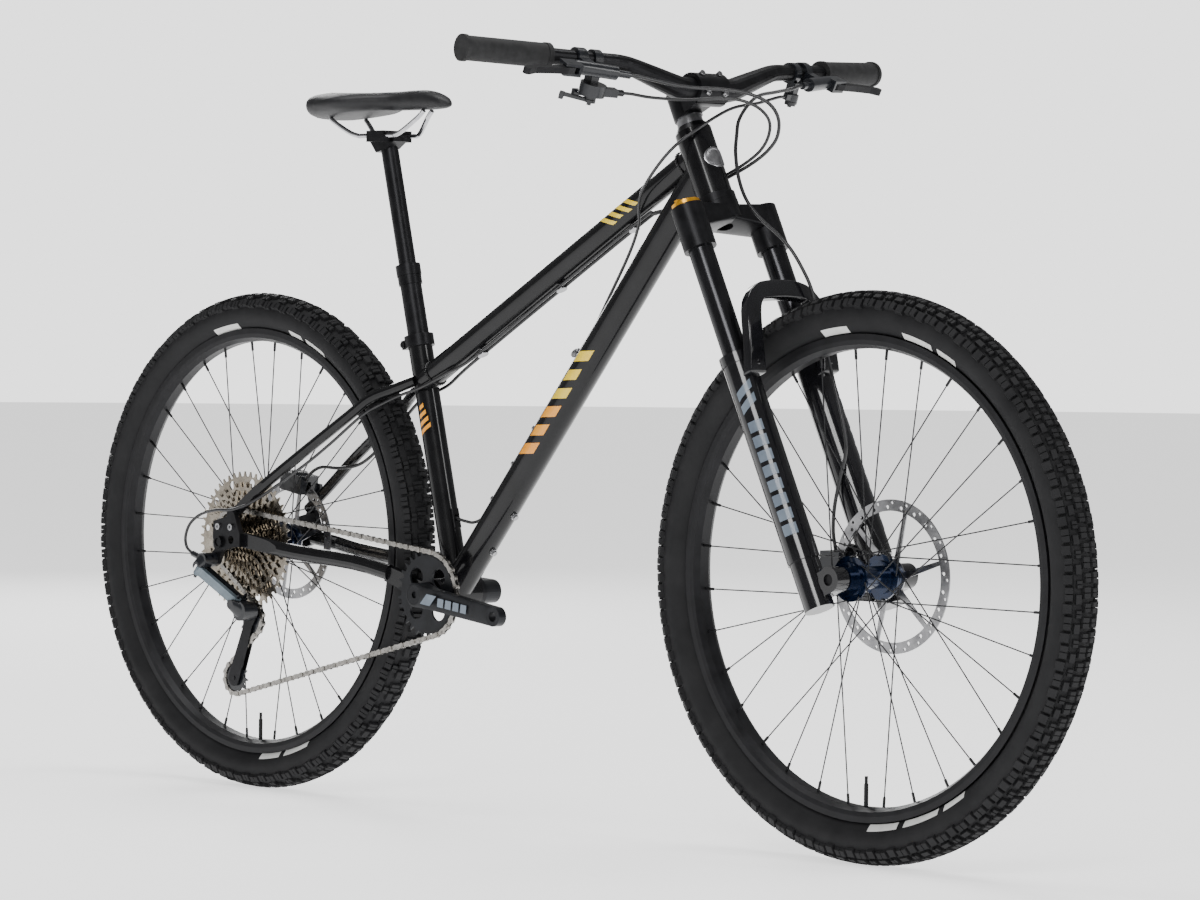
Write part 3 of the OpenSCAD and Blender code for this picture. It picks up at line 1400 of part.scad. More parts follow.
head_tube();
top_tube();
down_tube();
seat_tube();
bb_shell();
bearing_cups();
chainstays();
seatstays();
dropouts();
frame_fasteners();
seat_clamp();
rear_axle();
rear_caliper();
rear_hose();
shift_housing();
dropper_housing();
dropper_outer();
chain();
fork_crown();
stanchions();
stem();
steerer_spacer();
handlebar();
grips();
lever_bodies();
control_bodies();
front_hose();
damper_knob();
right_brake_lever();
left_brake_lever();
upshift_paddle();
downshift_paddle();
remote_paddle();
fork_lowers();
front_axle();
front_caliper();
front_tyre();
front_rim();
front_spokes();
front_hub();
front_rotor();
rear_tyre();
rear_rim();
rear_spokes();
rear_hub();
rear_rotor();
cassette();
chainring();
right_crank();
left_crank();
derailleur_knuckle();
derailleur_outer_link();
derailleur_inner_link();
derailleur_lower_knuckle();
derailleur_cage();
guide_pulley();
tension_pulley();
dropper_post();
saddle_rails();
saddle();
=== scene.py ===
import json
import math
import bpy
from mathutils import Matrix, Vector


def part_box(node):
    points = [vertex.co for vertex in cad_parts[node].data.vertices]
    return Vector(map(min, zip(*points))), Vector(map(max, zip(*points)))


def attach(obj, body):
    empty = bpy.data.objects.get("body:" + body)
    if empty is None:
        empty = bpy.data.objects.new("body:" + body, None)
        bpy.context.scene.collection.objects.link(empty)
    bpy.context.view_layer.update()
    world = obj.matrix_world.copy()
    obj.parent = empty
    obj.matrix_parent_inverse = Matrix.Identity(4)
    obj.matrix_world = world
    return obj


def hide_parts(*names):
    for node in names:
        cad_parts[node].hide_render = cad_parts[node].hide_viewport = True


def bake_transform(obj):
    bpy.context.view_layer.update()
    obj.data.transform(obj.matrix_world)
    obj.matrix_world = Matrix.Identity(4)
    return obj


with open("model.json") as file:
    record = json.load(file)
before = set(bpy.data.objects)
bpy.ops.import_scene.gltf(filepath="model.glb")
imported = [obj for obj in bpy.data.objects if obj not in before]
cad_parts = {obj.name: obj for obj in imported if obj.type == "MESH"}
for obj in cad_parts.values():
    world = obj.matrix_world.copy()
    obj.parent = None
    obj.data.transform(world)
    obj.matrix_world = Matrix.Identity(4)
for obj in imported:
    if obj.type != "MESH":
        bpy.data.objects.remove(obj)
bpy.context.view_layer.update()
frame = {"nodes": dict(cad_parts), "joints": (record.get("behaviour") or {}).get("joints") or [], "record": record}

print("frame loaded")

# where things are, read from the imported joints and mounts
joints = {j["name"]: j for j in frame["joints"]}
mounts = {m["name"]: m for m in frame["record"]["mounts"]}


def spot(joint):
    return Vector(joints[joint]["pos_m"])


frontAxle = spot("front_wheel_spin")
rearAxle = spot("rear_wheel_spin")
bracket = spot("crank_spin")
steerUp = Vector(joints["steering"]["axis"])
# the point of the steering axis that is level with the front axle along it
steerPoint = spot("steering") + steerUp * (frontAxle - spot("steering")).dot(steerUp)
steerFwd = Vector((steerUp.z, 0, -steerUp.x))
seatUp = Vector(joints["dropper_travel"]["axis"])
seatFwd = Vector((seatUp.z, 0, -seatUp.x))
seatPoint = Vector(mounts["stand_clamp"]["pos_m"])
chainLine = (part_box("chain")[0].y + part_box("chain")[1].y) / 2
slotOf = {s["node"]: s["material_slot"] for s in frame["record"]["subparts"]}


# small helpers

def clearSelection():
    if bpy.context.object and bpy.context.object.mode != "OBJECT":
        bpy.ops.object.mode_set(mode="OBJECT")
    bpy.ops.object.select_all(action="DESELECT")


def only(obj):
    clearSelection()
    obj.select_set(True)
    bpy.context.view_layer.objects.active = obj


def applyModifiers(obj):
    only(obj)
    for m in list(obj.modifiers):
        bpy.ops.object.modifier_apply(modifier=m.name)


def addModifier(obj, kind, **values):
    m = obj.modifiers.new(kind.lower(), kind)
    for k, v in values.items():
        setattr(m, k, v)
    return m


def recalculateNormals(obj):
    only(obj)
    bpy.ops.object.mode_set(mode="EDIT")
    bpy.ops.mesh.select_all(action="SELECT")
    bpy.ops.mesh.remove_doubles(threshold=0.00001)
    bpy.ops.mesh.normals_make_consistent(inside=False)
    bpy.ops.object.mode_set(mode="OBJECT")


def join(objs, name):
    clearSelection()
    for o in objs:
        o.select_set(True)
    bpy.context.view_layer.objects.active = objs[0]
    if len(objs) > 1:
        bpy.ops.object.join()
    made = bpy.context.object
    made.name = name
    return made


def finishPiece(obj, name, body, material, replaces=(), angle=35):
    # freezes the piece where it stands and hands it to its body
    only(obj)
    obj.name = name
    bpy.ops.object.transform_apply(location=True, rotation=True, scale=True)
    if angle:
        bpy.ops.object.shade_smooth_by_angle(angle=math.radians(angle))
    if material is not None:
        obj.data.materials.clear()
        obj.data.materials.append(material)
    if body:
        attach(obj, body)
    if replaces:
        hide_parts(*replaces)
    return obj


def frameOf(origin, xAxis, yAxis, zAxis):
    m = Matrix((xAxis, yAxis, zAxis)).transposed().to_4x4()
    m.translation = origin
    return m


def aboutSteering(up=0.0, fwd=0.0, left=0.0):
    # X forward, Y left, Z along the steering axis
    return frameOf(steerPoint + steerUp * up + steerFwd * fwd + Vector((0, left, 0)),
                   steerFwd, Vector((0, 1, 0)), steerUp)


def alongLine(start, end, side=Vector((0, 1, 0))):
    # Z along the line, Y towards side
    z = (end - start).normalized()
    y = (side - z * side.dot(z)).normalized()
    return frameOf(start, y.cross(z), y, z)


def smoothPath(points, steps):
    out = []
    last = len(points) - 1
    for i in range(last):
        a, b = points[max(i - 1, 0)], points[i]
        c, d = points[i + 1], points[min(i + 2, last)]
        for k in range(steps):
            t = k / steps
            out.append(0.5 * (2 * b + (c - a) * t + (2 * a - 5 * b + 4 * c - d) * t ** 2
                              + (3 * b - a - 3 * c + d) * t ** 3))
    out.append(points[last])
    return out


def tube(points, radius, name, sides=4):
    # a round tube through the points, made as a bevelled curve and turned into a mesh
    clearSelection()
    bpy.ops.curve.primitive_nurbs_path_add()
    obj = bpy.context.object
    curve = obj.data
    curve.splines.clear()
    spline = curve.splines.new("POLY")
    spline.points.add(len(points) - 1)
    for i, p in enumerate(points):
        spline.points[i].co = (*p, 1)
    curve.bevel_depth = radius
    curve.bevel_resolution = sides
    curve.use_fill_caps = True
    curve.twist_mode = "MINIMUM"
    obj.location = (0, 0, 0)
    only(obj)
    bpy.ops.object.convert(target="MESH")
    obj = bpy.context.object
    obj.name = name
    return obj


# materials

def newMaterial(name):
    mat = bpy.data.materials.new(name)
    mat.use_nodes = True
    nodes = mat.node_tree.nodes
    return mat, nodes, mat.node_tree.links, nodes["Principled BSDF"]


def noise(nodes, links, coords, scale, detail=4.0, rough=0.5, stretch=None):
    tex = nodes.new("ShaderNodeTexNoise")
    tex.inputs["Scale"].default_value = scale
    tex.inputs["Detail"].default_value = detail
    tex.inputs["Roughness"].default_value = rough
    source = coords.outputs["Object"]
    if stretch:
        mapping = nodes.new("ShaderNodeMapping")
        mapping.inputs["Scale"].default_value = stretch
        links.new(source, mapping.inputs["Vector"])
        source = mapping.outputs["Vector"]
    links.new(source, tex.inputs["Vector"])
    return tex.outputs["Fac"]


def ramp(nodes, links, source, stops):
    r = nodes.new("ShaderNodeValToRGB")
    elements = r.color_ramp.elements
    while len(elements) < len(stops):
        elements.new(0.5)
    for e, (at, colour) in zip(elements, stops):
        e.position = at
        e.color = (*colour, 1)
    links.new(source, r.inputs["Fac"])
    return r.outputs["Color"]


def addBump(nodes, links, shader, heights):
    # heights is a list of (source, strength, distance in metres), finest last
    previous = None
    for source, strength, distance in heights:
        b = nodes.new("ShaderNodeBump")
        b.inputs["Strength"].default_value = strength
        b.inputs["Distance"].default_value = distance
        links.new(source, b.inputs["Height"])
        if previous:
            links.new(previous, b.inputs["Normal"])
        previous = b.outputs["Normal"]
    links.new(previous, shader.inputs["Normal"])


def finishMaterial(name, dark, light, rough, roughSpread=0.08, metallic=0.0, coat=0.0,
                   grain=400, grainDepth=0.00005, grainStrength=0.25, cloud=18, stretch=None,
                   specular=0.5):
    # a surface with cloudy colour, uneven gloss and a fine grain
    mat, nodes, links, shader = newMaterial(name)
    coords = nodes.new("ShaderNodeTexCoord")
    cloudy = noise(nodes, links, coords, cloud, 5, 0.6, stretch)
    fine = noise(nodes, links, coords, grain, 3, 0.55, stretch)
    links.new(ramp(nodes, links, cloudy, [(0.3, dark), (0.72, light)]), shader.inputs["Base Color"])
    spread = nodes.new("ShaderNodeMapRange")
    spread.inputs["To Min"].default_value = max(0.02, rough - roughSpread)
    spread.inputs["To Max"].default_value = rough + roughSpread
    links.new(cloudy, spread.inputs["Value"])
    links.new(spread.outputs["Result"], shader.inputs["Roughness"])
    addBump(nodes, links, shader, [(fine, grainStrength, grainDepth)])
    shader.inputs["Metallic"].default_value = metallic
    shader.inputs["Coat Weight"].default_value = coat
    shader.inputs["Coat Roughness"].default_value = 0.04
    shader.inputs["Specular IOR Level"].default_value = specular
    return mat


finishes = {
    "frame_paint": dict(dark=(0.003, 0.003, 0.0035), light=(0.007, 0.007, 0.008), rough=0.24,
                        coat=0.35, specular=0.14, grain=900, grainDepth=0.00002, grainStrength=0.12,
                        cloud=30),
    "black_alloy": dict(dark=(0.007, 0.007, 0.008), light=(0.016, 0.016, 0.018), rough=0.36, specular=0.3,
                        metallic=0.6, grain=1200, grainDepth=0.00003, cloud=60),
    "bare_steel": dict(dark=(0.26, 0.26, 0.27), light=(0.46, 0.46, 0.47), rough=0.28,
                       metallic=1.0, grain=700, cloud=90),
    "hose_black": dict(dark=(0.01, 0.01, 0.011), light=(0.022, 0.022, 0.024), rough=0.33,
                       grain=900, cloud=50),
    "chain_steel": dict(dark=(0.16, 0.155, 0.145), light=(0.42, 0.40, 0.375), rough=0.27,
                        metallic=1.0, grain=900, cloud=160),
    "fork_black": dict(dark=(0.004, 0.004, 0.005), light=(0.009, 0.009, 0.011), rough=0.16,
                       coat=0.5, specular=0.3, grain=800, grainDepth=0.00002, grainStrength=0.1, cloud=26),
    "stanchion_black": dict(dark=(0.014, 0.014, 0.016), light=(0.028, 0.028, 0.031), rough=0.2,
                            metallic=0.7, grain=1500, grainDepth=0.00002, grainStrength=0.1,
                            cloud=70, stretch=(1, 1, 0.1)),
    "silver_alloy": dict(dark=(0.30, 0.30, 0.31), light=(0.52, 0.52, 0.54), rough=0.3,
                         metallic=1.0, grain=900, cloud=80),
    "grip_rubber": dict(dark=(0.006, 0.006, 0.0065), light=(0.022, 0.022, 0.023), rough=0.72,
                        grain=1500, grainDepth=0.0001, grainStrength=0.5, cloud=90, specular=0.35),
    "control_plastic": dict(dark=(0.005, 0.006, 0.008), light=(0.013, 0.014, 0.018), rough=0.3, specular=0.35,
                            coat=0.3, grain=1100, grainDepth=0.00004, cloud=70),
    "amber_alloy": dict(dark=(0.72, 0.33, 0.02), light=(0.9, 0.47, 0.04), rough=0.3,
                        metallic=0.8, grain=900, cloud=80),
    "tyre_rubber": dict(dark=(0.008, 0.008, 0.009), light=(0.017, 0.017, 0.018), rough=0.7,
                        grain=700, grainDepth=0.00012, grainStrength=0.5, cloud=22, specular=0.22),
    "rim_black": dict(dark=(0.007, 0.007, 0.008), light=(0.014, 0.014, 0.016), rough=0.45, specular=0.3,
                      metallic=0.3, grain=1100, grainDepth=0.00003, cloud=40),
    "spoke_black": dict(dark=(0.01, 0.01, 0.011), light=(0.02, 0.02, 0.022), rough=0.4,
                        metallic=0.5, grain=1200, cloud=60),
    "hub_blue": dict(dark=(0.003, 0.010, 0.032), light=(0.006, 0.02, 0.06), rough=0.2,
                     metallic=0.75, coat=0.6, grain=900, grainDepth=0.00002, cloud=70),
    "rotor_steel": dict(dark=(0.24, 0.24, 0.25), light=(0.44, 0.44, 0.45), rough=0.3,
                        metallic=1.0, grain=500, grainDepth=0.00004, cloud=60),
    "cassette_steel": dict(dark=(0.20, 0.175, 0.14), light=(0.45, 0.41, 0.35), rough=0.24,
                           metallic=1.0, grain=800, cloud=50),
    "crank_black": dict(dark=(0.007, 0.0075, 0.009), light=(0.016, 0.017, 0.02), rough=0.38, specular=0.3,
                        metallic=0.4, grain=1200, grainDepth=0.00004, cloud=40),
    "link_grey": dict(dark=(0.10, 0.13, 0.155), light=(0.17, 0.21, 0.24), rough=0.42,
                      metallic=0.3, grain=1000, cloud=70),
    "rail_silver": dict(dark=(0.40, 0.40, 0.42), light=(0.62, 0.62, 0.64), rough=0.14,
                        metallic=1.0, grain=900, grainDepth=0.00002, cloud=70),
    "saddle_cover": dict(dark=(0.009, 0.009, 0.010), light=(0.018, 0.018, 0.020), rough=0.5, specular=0.3,
                         grain=1000, grainDepth=0.0001, grainStrength=0.45, cloud=40),
}
material = {slot: finishMaterial(slot + "Finish", **v) for slot, v in finishes.items()}

for nodeName, node in frame["nodes"].items():
    node.data.materials.clear()
    node.data.materials.append(material[slotOf[nodeName]])
print("materials ready")


# room, lights and camera

room = {
    "floorSize": 60.0, "floorGlow": 1.15, "worldLight": 0.24, "backdropRadius": 28.0, "backdropGlow": 2.2,
}


def makeRoom():
    clearSelection()
    bpy.ops.mesh.primitive_plane_add(size=room["floorSize"])
    floor = bpy.context.object
    floor.name = "floor"
    floor.data.materials.append(finishMaterial("floorPaint", (0.82, 0.82, 0.82), (0.87, 0.87, 0.87),
                                               0.9, 0.02, grain=40, grainStrength=0.02, cloud=0.6))
    paint = floor.data.materials[0].node_tree.nodes["Principled BSDF"]
    paint.inputs["Emission Color"].default_value = (1, 1, 1, 1)
    paint.inputs["Emission Strength"].default_value = room["floorGlow"]
    clearSelection()
    bpy.ops.mesh.primitive_uv_sphere_add(segments=48, ring_count=24, radius=room["backdropRadius"])
    backdrop = bpy.context.object
    backdrop.name = "backdrop"
    backdrop.visible_diffuse = backdrop.visible_glossy = backdrop.visible_shadow = False
    glow, nodes, links, shader = newMaterial("backdropGlow")
    shader.inputs["Base Color"].default_value = (0, 0, 0, 1)
    shader.inputs["Emission Color"].default_value = (1, 1, 1, 1)
    shader.inputs["Emission Strength"].default_value = room["backdropGlow"]
    backdrop.data.materials.append(glow)
    world = bpy.data.worlds.new("studio")
    world.use_nodes = True
    world.node_tree.nodes["Background"].inputs["Color"].default_value = (1, 1, 1, 1)
    world.node_tree.nodes["Background"].inputs["Strength"].default_value = room["worldLight"]
    bpy.context.scene.world = world


def addLamp(name, place, aim, size, power):
    clearSelection()
    bpy.ops.object.light_add(type="AREA", location=place)
    lamp = bpy.context.object
    lamp.name = name
    lamp.data.shape = "RECTANGLE"
    lamp.data.size, lamp.data.size_y = size
    lamp.data.energy = power
    lamp.rotation_euler = (Vector(aim) - Vector(place)).to_track_quat("-Z", "Y").to_euler()


def makeCamera():
    # the angles are the viewing direction from behind the camera
    values = {"place": (4.4996, -4.2881, 0.7170), "yaw": 45.68, "pitch": 1.76, "roll": 0.55,
              "lens": 133.13, "sensor": 36.0}
    yaw, pitch, roll = (math.radians(values[k]) for k in ("yaw", "pitch", "roll"))
    ahead = Vector((-math.sin(yaw) * math.cos(pitch), math.cos(yaw) * math.cos(pitch), -math.sin(pitch)))
    right = Vector((math.cos(yaw), math.sin(yaw), 0))
    up = right.cross(ahead)
    camera = bpy.data.objects.new("camera", bpy.data.cameras.new("camera"))
    bpy.context.scene.collection.objects.link(camera)
    camera.data.lens, camera.data.sensor_width = values["lens"], values["sensor"]
    camera.data.clip_end = 200
    camera.matrix_world = frameOf(Vector(values["place"]), right * math.cos(roll) + up * math.sin(roll),
                                  up * math.cos(roll) - right * math.sin(roll), -ahead)
    bpy.context.scene.camera = camera


makeRoom()
makeCamera()
# place, aim, size and power of each lamp
lamps = {
    "keyLamp": ((3.2, -4.5, 3.6), (0, 0, 0.6), (2.6, 1.4), 150.0),
    "fillLamp": ((5.5, 1.2, 2.2), (0, 0, 0.6), (1.0, 2.6), 90.0),
    "topLamp": ((-0.4, 0.2, 4.6), (0, 0, 0.4), (4.0, 1.2), 150.0),
    "rimLamp": ((-4.5, 2.4, 2.6), (0, 0, 0.7), (1.6, 2.4), 110.0),
}
for lampName, v in lamps.items():
    addLamp(lampName, *v)
print("room, lights and camera ready")

# tyres: a smooth casing with rows of blocks, one pitch of blocks spun round the wheel

tyres = {
    "front_tyre": {
        "body": "front_wheel", "axle": frontAxle, "pitches": 62, "sink": 0.0012,
        "bars": [(4, 9), (15, 11), (28, 7), (150, 6), (158, 9), (184, 8)],
        # each block: along the pitch, angle from the middle of the tread, length, width, height, slit
        "blocks": [(0.0, 13, 15.0, 10.5, 6.4, True), (0.5, 11, 12.0, 9.5, 6.4, True),
                   (0.22, 34, 13.0, 8.0, 6.2, False), (0.72, 32, 10.0, 7.5, 6.0, True),
                   (0.05, 56, 18.0, 10.5, 7.0, True), (0.55, 59, 12.5, 12.5, 6.6, False)],
    },
    "rear_tyre": {
        "body": "rear_wheel", "axle": rearAxle, "pitches": 60, "sink": 0.0012,
        "bars": [(4, 8), (14, 10), (150, 8), (160, 5), (186, 10)],
        "blocks": [(0.0, 12, 11.5, 14.5, 6.2, True), (0.45, 16, 13.5, 9.5, 6.2, False),
                   (0.2, 35, 12.0, 8.0, 6.0, True), (0.05, 55, 18.0, 10.5, 6.8, True),
                   (0.56, 58, 13.5, 12.0, 6.4, True)],
    },
}


# how far the blocks stand out of the casing, and how much the walls draw in towards the rim
tread = {"deep": 0.0062, "proud": 0.0036, "drawIn": 0.25}


def makeBlock(length, width, height, slit, place, tilt, name):
    # a tread block: a low foot whose top is cut by a slit, then both halves are drawn up
    clearSelection()
    bpy.ops.mesh.primitive_cube_add(size=1)
    block = bpy.context.object
    block.name = name
    block.scale = (length, width, height * 0.45)
    bpy.ops.object.transform_apply(location=False, rotation=False, scale=True)
    bpy.ops.object.mode_set(mode="EDIT")
    if slit:
        for edge in (-0.0007, 0.0007):
            bpy.ops.mesh.select_all(action="SELECT")
            bpy.ops.mesh.bisect(plane_co=(edge, 0, 0), plane_no=(1, 0, 0))
    bpy.ops.mesh.select_mode(type="FACE")
    bpy.ops.mesh.select_all(action="DESELECT")
    bpy.ops.object.mode_set(mode="OBJECT")
    for f in block.data.polygons:
        f.select = f.normal.z > 0.9 and (not slit or abs(f.center.x) > 0.001)
    bpy.ops.object.mode_set(mode="EDIT")
    bpy.ops.mesh.extrude_region_move(TRANSFORM_OT_translate={"value": (0, 0, height * 0.55)})
    bpy.ops.transform.resize(value=(0.9, 0.88, 1))
    bpy.ops.mesh.select_mode(type="VERT")
    bpy.ops.object.mode_set(mode="OBJECT")
    block.matrix_world = Matrix.Translation(place) @ Matrix.Rotation(tilt, 4, "X")
    bpy.ops.object.transform_apply(location=True, rotation=True, scale=True)
    return block


def makeTyre(nodeName, v):
    low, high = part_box(nodeName)
    axle = v["axle"]
    outer, width = high.z - axle.z, high.y - low.y
    section = width / 2 - tread["proud"]
    ringRadius = outer - tread["deep"] - section
    clearSelection()
    bpy.ops.mesh.primitive_torus_add(location=axle, rotation=(math.pi / 2, 0, 0), major_segments=160,
                                     minor_segments=36, major_radius=ringRadius, minor_radius=section)
    casing = bpy.context.object
    bpy.ops.object.transform_apply(location=True, rotation=True, scale=True)
    # the sidewalls draw in towards the rim
    for p in casing.data.vertices:
        r = math.hypot(p.co.x - axle.x, p.co.z - axle.z)
        if r < ringRadius:
            p.co.y *= 1 - tread["drawIn"] * ((ringRadius - r) / section) ** 2
    pitch = 2 * math.pi / v["pitches"]
    blocks = []
    for along, lean, length, wide, tall, slit in v["blocks"]:
        for side in (-1, 1):
            a = math.radians(lean)
            rise = section + tall / 2000 * 0.45 - v["sink"]
            turn = (along + (0.5 if side > 0 else 0)) * pitch
            place = Vector((0, -side * math.sin(a) * rise, ringRadius + math.cos(a) * rise))
            block = makeBlock(length / 1000, wide / 1000, tall / 1000, slit, place, side * a, "block")
            block.matrix_world = Matrix.Rotation(turn, 4, "Y")
            bpy.ops.object.transform_apply(location=True, rotation=True, scale=True)
            blocks.append(block)
    blocksRing = join(blocks, "blocksRing")
    only(blocksRing)
    bpy.ops.object.mode_set(mode="EDIT")
    bpy.ops.mesh.select_all(action="SELECT")
    bpy.ops.mesh.spin(steps=v["pitches"] - 1, dupli=True, angle=2 * math.pi - pitch,
                      center=(0, 0, 0), axis=(0, 1, 0))
    bpy.ops.object.mode_set(mode="OBJECT")
    blocksRing.location = axle
    bpy.ops.object.transform_apply(location=True, rotation=True, scale=True)
    recalculateNormals(blocksRing)
    finishPiece(blocksRing, nodeName + "_tread", v["body"], material["tyre_rubber"],
                (nodeName,), 25)
    finishPiece(casing, nodeName + "_casing", v["body"], material["tyre_rubber"], (nodeName,))


for nodeName, v in tyres.items():
    makeTyre(nodeName, v)
print("tyres ready")


# chain: plates and rollers laid round the four wheels of the drive

drive = {
    "wheels": [((rearAxle.x, rearAxle.z), 0.0485, 1), ((bracket.x, bracket.z), 0.0606, 1),
               ((spot("tension_wheel_spin").x, spot("tension_wheel_spin").z), 0.02426, 1),
               ((spot("guide_wheel_spin").x, spot("guide_wheel_spin").z), 0.02426, -1)],
    "pitch": 0.0127, "plateRadius": 0.0041, "plateThickness": 0.0011, "innerAt": 0.0016,
    "outerAt": 0.0027, "rollerRadius": 0.0038, "rollerWidth": 0.0022, "pinRadius": 0.0017,
}


def driveLoop(wheels):
    # points a millimetre or so apart along the loop; 1 turns clockwise seen from the drive side
    lines = []
    for (c1, r1, s1), (c2, r2, s2) in zip(wheels, wheels[1:] + wheels[:1]):
        dx, dz = c2[0] - c1[0], c2[1] - c1[1]
        k = s1 * r1 - s2 * r2
        angle = math.atan2(dz, dx) - math.atan2(k, math.sqrt(dx * dx + dz * dz - k * k))
        left = (-math.sin(angle), math.cos(angle))
        lines.append(((c1[0] + s1 * r1 * left[0], c1[1] + s1 * r1 * left[1]),
                      (c2[0] + s2 * r2 * left[0], c2[1] + s2 * r2 * left[1])))
    points = []
    for i, (start, end) in enumerate(lines):
        count = max(2, round(math.dist(start, end) / 0.001))
        points += [(start[0] + (end[0] - start[0]) * k / count, start[1] + (end[1] - start[1]) * k / count)
                   for k in range(count)]
        (c, r, s) = wheels[(i + 1) % len(wheels)]
        a1 = math.atan2(end[1] - c[1], end[0] - c[0])
        nxt = lines[(i + 1) % len(lines)][0]
        a2 = math.atan2(nxt[1] - c[1], nxt[0] - c[0])
        sweep = -((a1 - a2) % (2 * math.pi)) if s > 0 else (a2 - a1) % (2 * math.pi)
        count = max(2, round(abs(sweep) * r / 0.001))
        points += [(c[0] + r * math.cos(a1 + sweep * k / count), c[1] + r * math.sin(a1 + sweep * k / count))
                   for k in range(count)]
    return points


def evenly(points, spacing):
    # the loop again, at an even number of equal steps
    closed = points + points[:1]
    lengths = [0.0]
    for p, q in zip(closed, closed[1:]):
        lengths.append(lengths[-1] + math.dist(p, q))
    count = 2 * round(lengths[-1] / spacing / 2)
    out, i = [], 0
    for k in range(count):
        want = lengths[-1] * k / count
        while lengths[i + 1] < want:
            i += 1
        t = (want - lengths[i]) / (lengths[i + 1] - lengths[i])
        out.append((closed[i][0] + (closed[i + 1][0] - closed[i][0]) * t,
                    closed[i][1] + (closed[i + 1][1] - closed[i][1]) * t))
    return out


def makePlate(across):
    # a pair of waisted plates from one pin to the next, X along the link
    pair = []
    for side in (-1, 1):
        clearSelection()
        bpy.ops.mesh.primitive_cylinder_add(vertices=10, radius=drive["plateRadius"],
                                            depth=drive["plateThickness"],
                                            rotation=(math.pi / 2, math.radians(18), 0))
        plate = bpy.context.object
        bpy.ops.object.transform_apply(location=True, rotation=True, scale=True)
        for p in plate.data.vertices:
            p.co.y += side * across
            if p.co.x > 0:
                p.co.x += drive["pitch"]
        bpy.ops.object.mode_set(mode="EDIT")
        bpy.ops.mesh.select_all(action="SELECT")
        bpy.ops.mesh.bisect(plane_co=(drive["pitch"] / 2, 0, 0), plane_no=(1, 0, 0))
        bpy.ops.transform.resize(value=(1, 1, 0.68))
        bpy.ops.object.mode_set(mode="OBJECT")
        pair.append(plate)
    return join(pair, "plates")


def makeRoller():
    clearSelection()
    bpy.ops.mesh.primitive_cylinder_add(vertices=12, radius=drive["rollerRadius"], depth=drive["rollerWidth"],
                                        rotation=(math.pi / 2, 0, 0))
    roller = bpy.context.object
    clearSelection()
    bpy.ops.mesh.primitive_cylinder_add(vertices=8, radius=drive["pinRadius"],
                                        depth=2 * drive["outerAt"] + drive["plateThickness"] + 0.0004,
                                        rotation=(math.pi / 2, 0, 0))
    pin = bpy.context.object
    only(roller)
    bpy.ops.object.transform_apply(location=True, rotation=True, scale=True)
    only(pin)
    bpy.ops.object.transform_apply(location=True, rotation=True, scale=True)
    return join([roller, pin], "roller")


def makeChain():
    spots = evenly(driveLoop(drive["wheels"]), drive["pitch"])
    inner, outer, roller = makePlate(drive["innerAt"]), makePlate(drive["outerAt"]), makeRoller()
    made = []
    for i, p in enumerate(spots):
        q = spots[(i + 1) % len(spots)]
        turn = -math.atan2(q[1] - p[1], q[0] - p[0])
        for source in ((inner, outer)[i % 2], roller):
            copy = source.copy()
            copy.data = source.data.copy()
            bpy.context.scene.collection.objects.link(copy)
            copy.matrix_world = Matrix.Translation((p[0], chainLine, p[1])) @ Matrix.Rotation(turn, 4, "Y")
            made.append(copy)
    for source in (inner, outer, roller):
        bpy.data.objects.remove(source)
    finishPiece(join(made, "chain_links"), "chain_links", "frame", material["chain_steel"],
                ("chain",), 30)


makeChain()
print("chain ready")
